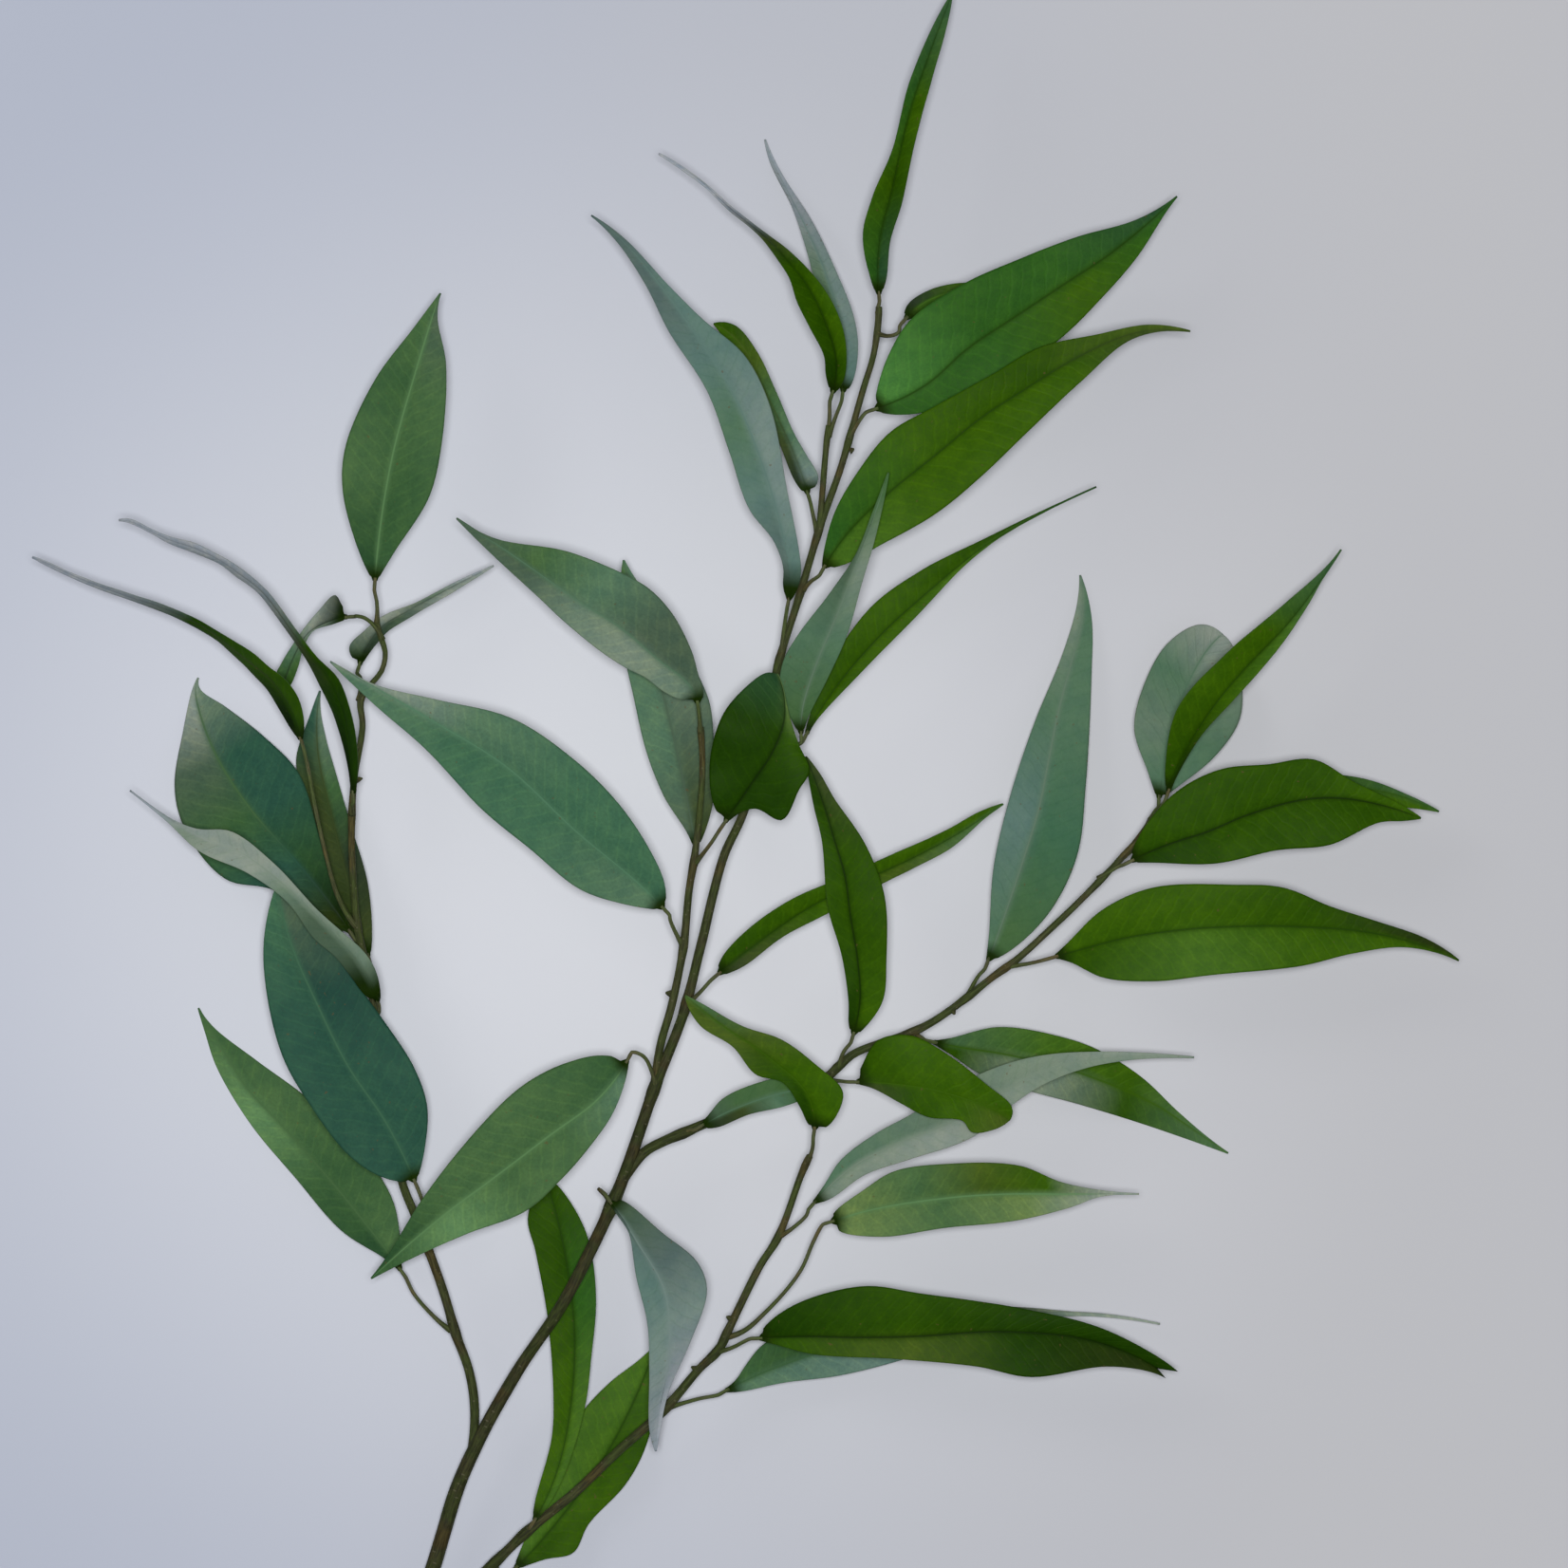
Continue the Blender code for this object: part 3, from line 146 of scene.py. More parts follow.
LEAVES = {
    "leaf_01": leaf(
        rib=[(395, 612, 36), (411, 492, 42), (436, 398, 43), (464, 309, 38)],
        left=[(377, 578), (361, 517), (364, 470), (395, 400), (436, 345)],
        right=[(416, 581), (452, 524), (465, 470), (470, 384), (461, 334)],
        stalk=[(397, 657, 36), (397, 635, 36)], rise=(12, 12)),
    "leaf_02": leaf(
        rib=[(372, 836, 40), (370, 800, 44), (362, 752, 49), (345, 712, 52), (326, 690, 53.5),
             (308, 665, 54.5), (290, 640, 55), (274, 621, 55), (249, 602, 54.5), (232, 590, 54),
             (204, 577, 52), (180, 569, 50.5), (162, 561, 49), (137, 549, 47), (125, 548, 46)],
        left=[(365, 800), (352, 755), (334, 716), (321, 692), (303, 666), (287, 644), (271, 624),
              (248, 607), (231, 594), (203, 582), (179, 573), (161, 563), (136, 551)],
        right=[(377, 800), (371, 755), (356, 715), (332, 690), (313, 665), (293, 637), (278, 619),
               (251, 597), (233, 586), (205, 572), (181, 566), (163, 559), (138, 547)],
        stalk=[(371, 858, 33), (371, 848, 37)], rise=(-62, 62), tip_rise=(-50, 50)),
    "leaf_03": leaf(
        rib=[(317, 779, 42), (308, 752, 47), (298, 733, 50), (283, 714, 52.5), (262, 697, 53.5),
             (241, 681, 54), (215, 661, 53.5), (193, 650, 53), (165, 638, 51), (137, 629, 49.5),
             (88, 611, 46), (50, 593, 43), (34, 587, 41)],
        left=[(306, 767), (294, 747), (281, 726), (264, 708), (248, 692), (231, 677), (213, 665),
              (192, 654), (164, 642), (136, 632), (87, 614)],
        right=[(320, 757), (314, 735), (300, 715), (284, 703), (268, 689), (249, 677), (216, 657),
               (194, 646), (166, 635), (138, 626), (89, 609)],
        stalk=[(376, 977, 31.4), (357, 947, 34), (343, 900, 35), (332, 850, 36), (325, 812, 38)],
        rise=(-55, 55)),
    "leaf_04": leaf(
        rib=[(366, 650, 36), (348, 654, 38), (325, 667, 37), (309, 693, 31), (297, 728, 24)],
        left=[(350, 658), (330, 665), (320, 682), (314, 703), (306, 722)],
        right=[(360, 637), (353, 627), (335, 644), (316, 668), (297, 698), (290, 714)],
        stalk=[(403, 674, 36), (395, 660, 37), (384, 651, 37), (375, 649, 36)], rise=(5, 35)),
    "leaf_05": leaf(
        rib=[(379, 700, 26), (390, 676, 28), (404, 659, 29), (431, 643, 30), (475, 619, 31),
             (520, 596, 28)],
        left=[(368, 682), (383, 665), (402, 650), (440, 634), (480, 613)],
        right=[(388, 690), (398, 677), (408, 666), (433, 650), (477, 624)],
        stalk=[(378, 738, 34), (380, 715, 29)], rise=(30, 45)),
    "leaf_06": leaf(
        rib=[(735, 741, 45.5), (733, 732, 46.8), (722, 717, 48), (695, 696, 50.5), (652, 660, 53),
             (614, 636, 55), (572, 607, 56), (530, 578, 55), (481, 546, 51)],
        left=[(728, 739), (714, 736), (698, 728), (680, 714), (658, 703), (627, 682), (590, 651),
              (569, 631), (518, 584)],
        right=[(741, 732), (735, 708), (728, 684), (708, 646), (686, 622), (664, 608), (598, 581),
               (521, 567)],
        stalk=[(738, 772, 41), (737, 758, 43)], rise=(8, 18)),
    "leaf_07": leaf(
        rib=[(699, 957, 42), (672, 930, 45), (607, 876, 50), (534, 808, 53), (460, 762, 52),
             (348, 697, 46)],
        left=[(659, 953), (611, 937), (559, 895), (508, 853), (449, 790), (395, 743)],
        right=[(700, 930), (681, 889), (652, 847), (607, 802), (540, 757), (460, 737), (395, 721)],
        stalk=[(720, 998, 39), (713, 985, 40), (706, 969, 41)], rise=(10, 14)),
    "leaf_08": leaf(
        rib=[(369, 982, 30), (352, 957, 28.5), (310, 905, 23), (262, 850, 15), (225, 790, 7),
             (206, 730, LOWEST_RIB), (209, 714, LOWEST_RIB)],
        left=[(349, 977), (326, 963), (286, 937), (241, 928), (213, 903), (190, 862), (184, 825),
              (193, 770), (202, 728)],
        right=[(361, 955), (350, 930), (336, 880), (315, 815), (278, 776), (238, 745),
               (211, 726)],
        stalk=[(380, 997, 30.4), (376, 991, 30.3)], rise=(6, 8), tip_rise=(2, 2)),
    "leaf_09": leaf(
        rib=[(398, 1055, 38.5), (396, 1048, 41.5), (388, 1033, 43), (376, 1011, 43.5),
             (359, 991, 44.5), (330, 962, 46), (290, 924, 48), (250, 896, 48), (215, 884, 46),
             (137, 833, 39)],
        left=[(384, 1048), (369, 1028), (353, 1008), (330, 988), (303, 951), (261, 920),
              (210, 897), (176, 866)],
        right=[(401, 1047), (398, 1029), (391, 1013), (381, 1000), (363, 984), (334, 958),
               (289, 910), (244, 876), (207, 873), (176, 860)],
        stalk=[(395, 1068, 28.5), (399, 1067, 32)], rise=(15, 15), pale=True),
    "leaf_10": leaf(
        rib=[(388, 1008, 24), (372, 950, 18), (352, 870, 12), (335, 790, 8), (337, 728, 5)],
        left=[(370, 988), (350, 955), (334, 900), (319, 840), (312, 800), (326, 755)],
        right=[(392, 979), (387, 928), (370, 870), (354, 815), (344, 780), (338, 750)],
        stalk=[(389, 1034, 29), (389, 1021, 26)], rise=(6, 6)),
    "leaf_11": leaf(
        rib=[(437, 1245, 30), (405, 1180, 34), (367, 1124, 36), (335, 1060, 37), (305, 990, 35),
             (292, 932, 32)],
        left=[(402, 1240), (367, 1217), (325, 1162), (298, 1114), (281, 1047), (278, 990)],
        right=[(448, 1207), (450, 1165), (436, 1124), (402, 1072), (370, 1028), (334, 975)],
        stalk=[(449, 1311, 23), (449, 1280, 26)], rise=(10, 0)),
    "leaf_12": leaf(
        rib=[(422, 1338, 18), (370, 1270, 11), (310, 1200, 3.5), (258, 1144, LOWEST_RIB),
             (249, 1130, LOWEST_RIB), (209, 1062, LOWEST_RIB)],
        left=[(405, 1326), (360, 1297), (312, 1242), (263, 1183), (228, 1124), (216, 1088)],
        right=[(422, 1307), (414, 1265), (388, 1222), (325, 1158), (270, 1117), (225, 1082)],
        stalk=[(475, 1402, 20), (457, 1387, 20), (436, 1363, 19)],
        rise=(8, 8), tip_rise=(0, 0), wave=0.0),
    "leaf_13": leaf(
        rib=[(661, 1117, 44), (630, 1158, 47), (578, 1197, 49), (519, 1242, 48), (464, 1283, 44),
             (391, 1347, 38)],
        left=[(656, 1148), (644, 1176), (620, 1210), (592, 1242), (554, 1276), (492, 1300),
              (440, 1323)],
        right=[(630, 1112), (599, 1119), (571, 1131), (540, 1152), (488, 1207), (443, 1266),
               (410, 1320)],
        stalk=[(691, 1148, 36), (687, 1130, 40), (678, 1113, 43)], rise=(12, 12)),
    "leaf_14": leaf(
        rib=[(563, 1602, 20), (590, 1540, 19), (605, 1440, 17), (600, 1350, 16), (575, 1240, 15)],
        left=[(564, 1580), (581, 1516), (583, 1470), (577, 1389), (564, 1318), (556, 1283)],
        right=[(592, 1560), (616, 1484), (623, 1430), (628, 1366), (618, 1300), (592, 1254)],
        stalk=[(553, 1616, 16.5), (558, 1610, 19)], rise=(8, 8)),
    "leaf_15": leaf(
        rib=[(543, 1652, 11), (590, 1600, 8), (640, 1530, 7), (675, 1460, 7), (690, 1418, 7)],
        left=[(562, 1600), (585, 1545), (612, 1490), (642, 1457), (673, 1433)],
        right=[(574, 1643), (604, 1636), (620, 1606), (659, 1564), (680, 1525), (692, 1470)],
        stalk=[(523, 1646, 15), (527, 1659, 12.5)], rise=(6, 6)),
    "leaf_16": leaf(
        rib=[(643, 1266, 40), (672, 1310, 43), (700, 1360, 43), (705, 1430, 41), (694, 1490, 38),
             (691, 1529, 36)],
        left=[(656, 1265), (698, 1299), (735, 1330), (745, 1360), (727, 1415), (704, 1468),
              (696, 1505)],
        right=[(650, 1280), (662, 1298), (670, 1344), (682, 1395), (684, 1446), (684, 1505)],
        stalk=[(645, 1270, 32), (638, 1260, 33), (631, 1253, 36)], rise=(14, 10), pale=True),
    "leaf_17": leaf(
        rib=[(733, 893, 34), (715, 800, 31), (690, 700, 29), (668, 630, 29), (657, 590, 30)],
        left=[(723, 876), (700, 840), (681, 792), (667, 732), (656, 680), (653, 630)],
        right=[(744, 873), (752, 840), (752, 780), (748, 742), (739, 718), (716, 675), (690, 635),
               (672, 613)],
        stalk=[(732, 912, 38), (733, 903, 36)], rise=(5, 5)),
    "leaf_18": leaf(
        rib=[(764, 866, 50), (790, 828, 54), (815, 790, 57), (827, 752, 57), (819, 710, 53)],
        left=[(751, 845), (748, 800), (762, 752), (790, 720), (807, 709)],
        right=[(795, 852), (824, 864), (842, 832), (853, 812), (842, 785), (832, 755), (825, 725)],
        stalk=[(732, 910, 39), (741, 899, 42), (750, 887, 46)], rise=(8, 4)),
    "leaf_19": leaf(
        rib=[(926, 310, 41), (927, 255, 45), (940, 200, 46), (958, 120, 44), (980, 55, 40),
             (1003, -6, 34)],
        left=[(917, 293), (909, 248), (920, 205), (940, 158), (958, 87), (985, 23)],
        right=[(934, 293), (938, 254), (950, 215), (964, 150), (980, 90), (997, 30)],
        stalk=[(925, 330, 39.8), (926, 320, 40.4)], rise=(40, 35)),
    "leaf_20": leaf(
        rib=[(877, 414, 43), (881, 380, 47), (868, 335, 49), (850, 300, 49), (829, 274, 48.5),
             (810, 253, 47.5), (791, 237, 46.5), (769, 219, 45), (742, 194, 43), (713, 173, 41),
             (694, 162, 39)],
        left=[(870, 395), (868, 375), (851, 341), (840, 319), (831, 292), (818, 272), (805, 254),
              (789, 239), (767, 221), (741, 196), (712, 175)],
        right=[(888, 403), (892, 382), (888, 345), (869, 305), (851, 283), (829, 262), (813, 250),
               (793, 235), (770, 217), (743, 193), (714, 172)],
        stalk=[(872, 462, 41), (874, 438, 41.5)], rise=(35, 35)),
    "leaf_21": leaf(
        rib=[(888, 413, 39), (889, 360, 33), (873, 297, 22.5), (848, 238, 12), (823, 189, 3),
             (813, 168, LOWEST_RIB), (806, 147, LOWEST_RIB)],
        left=[(880, 395), (876, 355), (862, 310), (850, 265), (834, 217), (819, 188), (810, 168)],
        right=[(898, 403), (904, 370), (900, 335), (878, 279), (855, 232), (828, 190), (816, 168)],
        stalk=[(873, 460, 41), (880, 440, 41)], rise=(20, 20), tip_rise=(5, 5), pale=True),
    "leaf_22": leaf(
        rib=[(851, 520, 36), (835, 475, 35), (805, 410, 34), (780, 362, 33), (752, 341, 31)],
        left=[(838, 508), (820, 465), (790, 400), (765, 360)],
        right=[(862, 503), (850, 480), (836, 455), (818, 413), (798, 371), (775, 343)],
        stalk=[(861, 562, 38), (855, 535, 37)], rise=(5, 15)),
    "leaf_23": leaf(
        rib=[(831, 632, 41.5), (833, 612, 43.5), (824, 560, 46.5), (800, 480, 50), (770, 410, 52),
             (735, 355, 51), (695, 300, 49), (660, 258, 47), (623, 227, 42)],
        left=[(825, 618), (825, 597), (815, 570), (789, 536), (768, 475), (744, 410), (705, 350),
              (680, 300), (650, 255)],
        right=[(840, 621), (844, 604), (841, 575), (830, 520), (812, 430), (785, 375), (740, 336),
               (702, 298), (659, 252)],
        stalk=[(822, 697, 38), (825, 670, 39.5)], rise=(14, 12), pale=True),
    "leaf_24": leaf(
        rib=[(922, 431, 42), (975, 406, 44), (1020, 367, 45), (1071, 333, 45), (1122, 299, 44),
             (1173, 265, 42), (1240, 207, 36)],
        left=[(925, 406), (937, 372), (960, 336), (1015, 299), (1071, 274), (1133, 250),
              (1198, 231)],
        right=[(953, 437), (1010, 425), (1065, 392), (1116, 358), (1159, 316), (1198, 271),
               (1229, 223)],
        stalk=[(895, 463, 39.3), (903, 447, 40.5)], rise=(10, 0)),
    "leaf_25": leaf(
        rib=[(954, 336, 36), (975, 318, 34), (1010, 306, 32), (1060, 302, 30), (1120, 292, 29),
             (1170, 272, 29)],
        left=[(957, 320), (978, 306), (1003, 299), (1040, 296), (1085, 283), (1140, 266)],
        right=[(965, 343), (1000, 345), (1050, 335), (1110, 312), (1150, 288)],
        stalk=[(923, 350, 40), (936, 354, 38), (947, 350, 37)], rise=(5, 5)),
    "leaf_26": leaf(
        rib=[(868, 598, 45), (892, 563, 49), (932, 523, 53), (985, 480, 55), (1034, 440, 56),
             (1077, 412, 56), (1120, 385, 55), (1169, 360, 53), (1200, 350, 51), (1254, 349, 47)],
        left=[(869, 575), (880, 538), (905, 495), (938, 455), (985, 428), (1046, 394), (1095, 366),
              (1157, 352), (1209, 342)],
        right=[(892, 594), (923, 577), (985, 542), (1034, 502), (1083, 455), (1138, 403),
               (1194, 357)],
        stalk=[(846, 622, 38.5), (854, 613, 41.5)], rise=(8, 10)),
    "leaf_27": leaf(
        rib=[(844, 773, 45), (846, 745, 48), (860, 700, 54), (885, 640, 61), (905, 585, 66),
             (922, 540, 68), (936, 498, 67)],
        left=[(833, 757), (822, 735), (824, 700), (840, 670), (874, 625), (902, 583), (919, 540)],
        right=[(852, 755), (871, 717), (893, 668), (908, 615), (920, 575), (932, 525)],
        stalk=[(801, 802, 39), (822, 792, 41), (840, 784, 44)], rise=(10, 15), pale=True),
    "leaf_28": leaf(
        rib=[(850, 773, 41), (880, 725, 42), (929, 668, 43), (980, 622, 43), (1034, 578, 42),
             (1083, 548, 40), (1155, 513, 35)],
        left=[(855, 748), (875, 700), (917, 640), (972, 600), (1034, 569), (1083, 545)],
        right=[(859, 761), (905, 711), (966, 649), (1022, 591), (1077, 551)],
        stalk=[(801, 802, 38), (824, 795, 38.5), (842, 784, 40)], rise=(10, 10)),
    "leaf_29": leaf(
        rib=[(899, 1090, 36), (906, 1051, 41), (903, 1008, 44), (896, 965, 46), (890, 922, 47),
             (878, 882, 47), (866, 842, 46), (849, 797, 44)],
        left=[(894, 1078), (894, 1057), (887, 1008), (872, 955), (866, 887), (857, 848)],
        right=[(910, 1084), (930, 1055), (934, 1010), (932, 944), (912, 890), (879, 841),
               (864, 815)],
        stalk=[(884, 1125, 30), (889, 1108, 33)], rise=(12, 12)),
    "leaf_30": leaf(
        rib=[(757, 1026, 39), (790, 1000, 38), (850, 958, 36), (905, 930, 35), (960, 905, 36),
             (1010, 878, 37), (1057, 847, 36)],
        left=[(761, 1008), (788, 979), (831, 949), (880, 927), (938, 901), (998, 874), (1030, 856)],
        right=[(782, 1019), (825, 987), (871, 963), (920, 936), (960, 916), (1003, 893),
               (1038, 862)],
        stalk=[(724, 1058, 37.5), (736, 1047, 39)], rise=(25, 20)),
    "leaf_31": leaf(
        rib=[(858, 1190, 39), (857, 1170, 42), (845, 1145, 45), (820, 1122, 46), (795, 1103, 47),
             (765, 1083, 48), (722, 1049, 48)],
        left=[(850, 1182), (843, 1167), (825, 1141), (796, 1132), (772, 1103), (737, 1080)],
        right=[(870, 1188), (881, 1176), (888, 1150), (860, 1122), (823, 1095), (782, 1081),
               (741, 1058)],
        stalk=[(850, 1226, 32), (856, 1210, 35.5)], rise=(12, 10)),
    "leaf_32": leaf(
        rib=[(739, 1186, 34.5), (775, 1168, 36), (815, 1154, 36), (862, 1144, 35)],
        left=[(746, 1175), (762, 1157), (798, 1141), (840, 1133)],
        right=[(755, 1188), (790, 1174), (825, 1166), (850, 1156)],
        stalk=[(719, 1194, 32), (729, 1190, 33.5)], rise=(5, 5), pale=True),
    "leaf_33": leaf(
        rib=[(902, 1140, 37), (942, 1142, 40), (978, 1147, 42), (1012, 1156, 43), (1045, 1168, 41),
             (1064, 1180, 38)],
        left=[(907, 1125), (925, 1096), (960, 1091), (1000, 1112), (1040, 1143), (1066, 1166)],
        right=[(920, 1147), (948, 1162), (978, 1177), (1014, 1181), (1024, 1193), (1048, 1190)],
        stalk=[(871, 1138, 29), (885, 1139, 33)], rise=(8, 8)),
    "leaf_34": leaf(
        rib=[(984, 1098, 28), (1015, 1104, 24), (1060, 1111, 17), (1130, 1128, 8), (1195, 1153, 1.5),
             (1225, 1168, LOWEST_RIB), (1240, 1178, LOWEST_RIB), (1294, 1215, LOWEST_RIB)],
        left=[(1000, 1094), (1052, 1082), (1117, 1092), (1157, 1106), (1203, 1135), (1240, 1170),
              (1270, 1196)],
        right=[(1000, 1110), (1037, 1134), (1083, 1149), (1135, 1163), (1197, 1182), (1250, 1200)],
        stalk=[(961, 1087, 30), (972, 1094, 29)], rise=(10, 10), tip_rise=(0, 0), wave=0.0),
    "leaf_35": leaf(
        rib=[(858, 1267, 30), (900, 1228, 32), (950, 1203, 32), (1000, 1183, 32), (1045, 1157, 32),
             (1100, 1128, 32), (1160, 1115, 31), (1258, 1114, 28)],
        left=[(868, 1249), (886, 1222), (923, 1194), (960, 1174), (1031, 1132), (1086, 1114),
              (1148, 1108)],
        right=[(877, 1262), (911, 1238), (957, 1222), (1025, 1198), (1068, 1163), (1105, 1140),
               (1163, 1121)],
        stalk=[(819, 1304, 26), (835, 1294, 28), (850, 1280, 29)], rise=(10, 12), pale=True),
    "leaf_36": leaf(
        rib=[(876, 1287, 31), (930, 1272, 35), (1000, 1262, 37), (1060, 1258, 37), (1120, 1258, 35),
             (1200, 1258, 31)],
        left=[(880, 1276), (908, 1255), (942, 1234), (1000, 1226), (1074, 1228), (1117, 1245),
              (1155, 1253)],
        right=[(886, 1298), (932, 1303), (994, 1294), (1071, 1286), (1125, 1273), (1160, 1261)],
        stalk=[(764, 1409, 24), (784, 1402, 25), (808, 1381, 26), (831, 1356, 27), (845, 1336, 28),
               (857, 1308, 29)], rise=(12, 12)),
    "leaf_37": leaf(
        rib=[(800, 1410, 29), (850, 1408, 33), (902, 1409, 35), (963, 1408, 36), (1055, 1403, 36),
             (1148, 1412, 33), (1218, 1441, 28)],
        left=[(810, 1393), (845, 1371), (911, 1355), (972, 1363), (1074, 1378), (1157, 1398),
              (1216, 1427)],
        right=[(818, 1417), (858, 1427), (945, 1432), (1030, 1440), (1086, 1451), (1163, 1440),
               (1206, 1444)],
        stalk=[(754, 1425, 24), (771, 1420, 26)], rise=(12, 10),
        prongs=((1241, 1445), (1228, 1452))),
    "leaf_38": leaf(
        rib=[(765, 1465, 19), (800, 1448, 15), (862, 1425, 12), (960, 1400, 10), (1050, 1388, 9),
             (1135, 1383, 9), (1222, 1395, 8)],
        left=[(775, 1454), (788, 1435), (806, 1415), (870, 1392), (960, 1378), (1050, 1376),
              (1120, 1381)],
        right=[(782, 1466), (825, 1457), (886, 1449), (960, 1430), (1050, 1400), (1120, 1387)],
        stalk=[(702, 1484, 21), (735, 1474, 20)], rise=(8, 8)),
    "leaf_39": leaf(
        rib=[(1041, 1012, 25), (1060, 960, 22), (1080, 900, 19), (1095, 850, 16), (1105, 800, 13),
             (1115, 750, 10), (1128, 700, 7), (1140, 650, 3.5), (1138, 606, LOWEST_RIB)],
        left=[(1042, 984), (1047, 912), (1065, 836), (1090, 761), (1118, 693), (1134, 640)],
        right=[(1072, 996), (1108, 958), (1135, 901), (1144, 826), (1150, 711), (1150, 650)],
        stalk=[(1020, 1049, 30), (1031, 1028, 27)], rise=(10, 10), tip_rise=(4, 4), pale=True),
    "leaf_40": leaf(
        rib=[(1221, 841, 24), (1228, 790, 20), (1245, 735, 14), (1268, 690, 6),
             (1288, 668, LOWEST_RIB)],
        left=[(1210, 815), (1195, 768), (1205, 722), (1230, 678), (1264, 658)],
        right=[(1245, 826), (1280, 797), (1305, 761), (1309, 728), (1302, 690), (1296, 676)],
        stalk=[(1212, 864, 28), (1218, 853, 26)], rise=(6, 6), tip_rise=(2, 2), pale=True),
    "leaf_41": leaf(
        rib=[(1231, 834, 33), (1250, 790, 37), (1282, 740, 40), (1316, 700, 41), (1359, 655, 41),
             (1413, 579, 37)],
        left=[(1228, 804), (1240, 747), (1287, 693), (1345, 643), (1395, 599)],
        right=[(1241, 816), (1266, 775), (1305, 732), (1345, 686), (1373, 646), (1402, 596)],
        stalk=[(1204, 879, 29), (1222, 852, 31)], rise=(30, 30)),
    "leaf_42": leaf(
        rib=[(1192, 907, 35), (1230, 890, 38), (1273, 876, 39), (1316, 858, 39), (1377, 842, 38),
             (1430, 843, 36), (1497, 862, 32)],
        left=[(1201, 879), (1237, 836), (1284, 811), (1337, 805), (1384, 800), (1427, 824),
              (1475, 847)],
        right=[(1215, 909), (1280, 910), (1345, 896), (1402, 890), (1452, 867), (1480, 865)],
        stalk=[(1157, 926, 30), (1178, 913, 33)], rise=(10, 10)),
    "leaf_43": leaf(
        rib=[(1204, 889, 27), (1260, 865, 26), (1330, 845, 26), (1400, 835, 26), (1450, 833, 26),
             (1516, 855, 23)],
        left=[(1240, 852), (1290, 828), (1340, 819), (1390, 815), (1440, 821), (1485, 838)],
        right=[(1240, 882), (1300, 875), (1370, 865), (1430, 850), (1480, 851)],
        stalk=[(1184, 902, 30), (1194, 895, 28)], rise=(5, 5)),
    "leaf_44": leaf(
        rib=[(1112, 1008, 32), (1144, 999, 35), (1187, 988, 37), (1251, 979, 38), (1309, 976, 38),
             (1359, 976, 37), (1452, 984, 34), (1537, 1012, 29)],
        left=[(1124, 994), (1162, 958), (1215, 935), (1302, 932), (1352, 935), (1402, 955),
              (1452, 971), (1503, 989)],
        right=[(1128, 1014), (1162, 1030), (1215, 1034), (1280, 1027), (1370, 1018), (1424, 1005),
               (1475, 998), (1510, 1003)],
        stalk=[(1058, 1019, 30), (1085, 1015, 31)], rise=(12, 10)),
}

# The woody parts, thick end first: centre line as (x, y, height) and radii in mm spread along it
TWIGS = {
    "main_stem": Twig(
        path=[(362, 1950, 2.58), (410, 1795, 7), (456, 1652, 12), (489, 1550, 16), (545, 1445, 22),
              (590, 1378, 27), (625, 1312, 30), (655, 1245, 33), (690, 1145, 36), (720, 1068, 37),
              (738, 998, 38), (763, 901, 38), (782, 860, 38), (800, 800, 38), (820, 700, 38),
              (841, 632, 38), (865, 552, 39), (886, 492, 39), (908, 415, 39), (921, 371, 39),
              (926, 323, 40)],
        radii=[2.8, 2.7, 2.6, 2.0, 2.2, 1.7, 1.5, 1.35, 1.2, 1.0]),
    "upper_left_twig": Twig(
        path=[(690, 1140, 36), (696, 1100, 37.5), (707, 1062, 38.5), (720, 998, 39), (726, 938, 39),
              (732, 901, 39), (738, 847, 39.5), (740, 808, 40), (738, 766, 41)],
        radii=[1.4, 1.4, 1.3, 1.1, 1.0]),
    "left_twig": Twig(
        path=[(494, 1545, 16), (500, 1500, 17), (499, 1470, 18), (493, 1440, 19), (480, 1405, 20),
              (470, 1370, 21), (460, 1340, 22), (448, 1308, 23), (437, 1280, 24), (423, 1243, 25),
              (410, 1170, 26), (398, 1095, 27), (389, 1030, 29), (378, 985, 31), (371, 905, 32),
              (371, 850, 32), (374, 815, 32), (382, 765, 33), (380, 738, 34), (391, 721, 35),
              (402, 707, 36), (406, 688, 36), (400, 668, 36), (397, 655, 36)],
        radii=[1.6, 1.6, 1.5, 1.3, 1.2, 1.2, 1.1, 0.8]),
    "middle_twig": Twig(
        path=[(651, 1253, 32.6), (664, 1232, 33), (680, 1213, 33), (700, 1202, 32.5), (722, 1193, 31.5),
              (745, 1183, 29.5), (770, 1175, 27.5), (805, 1164, 26), (840, 1151, 26),
              (868, 1138, 28.5), (885, 1122, 29.5), (900, 1110, 30), (925, 1100, 30),
              (960, 1088, 30), (985, 1075, 30), (1020, 1050, 30), (1045, 1030, 30),
              (1070, 1012, 30), (1100, 985, 30), (1140, 947, 30), (1185, 900, 30), (1205, 876, 29),
              (1212, 864, 28)],
        radii=[1.8, 1.7, 1.5, 1.4, 1.3, 1.2, 1.1, 0.9]),
    "low_twig": Twig(
        path=[(436, 1712, 10), (470, 1690, 12), (515, 1652, 14.5), (557, 1612, 17), (605, 1573, 19),
              (650, 1530, 20), (700, 1485, 21), (736, 1443, 23), (757, 1422, 24), (768, 1400, 24.5),
              (800, 1335, 25.5), (820, 1303, 26), (844, 1238, 31), (853, 1218, 34)],
        radii=[1.7, 1.7, 1.6, 1.6, 1.4, 1.3, 1.1]),
    "top_twig": Twig(
        path=[(863, 560, 39), (867, 512, 40), (870, 476, 41), (873, 448, 41.3)],
        radii=[1.1, 1.1, 0.9]),
}


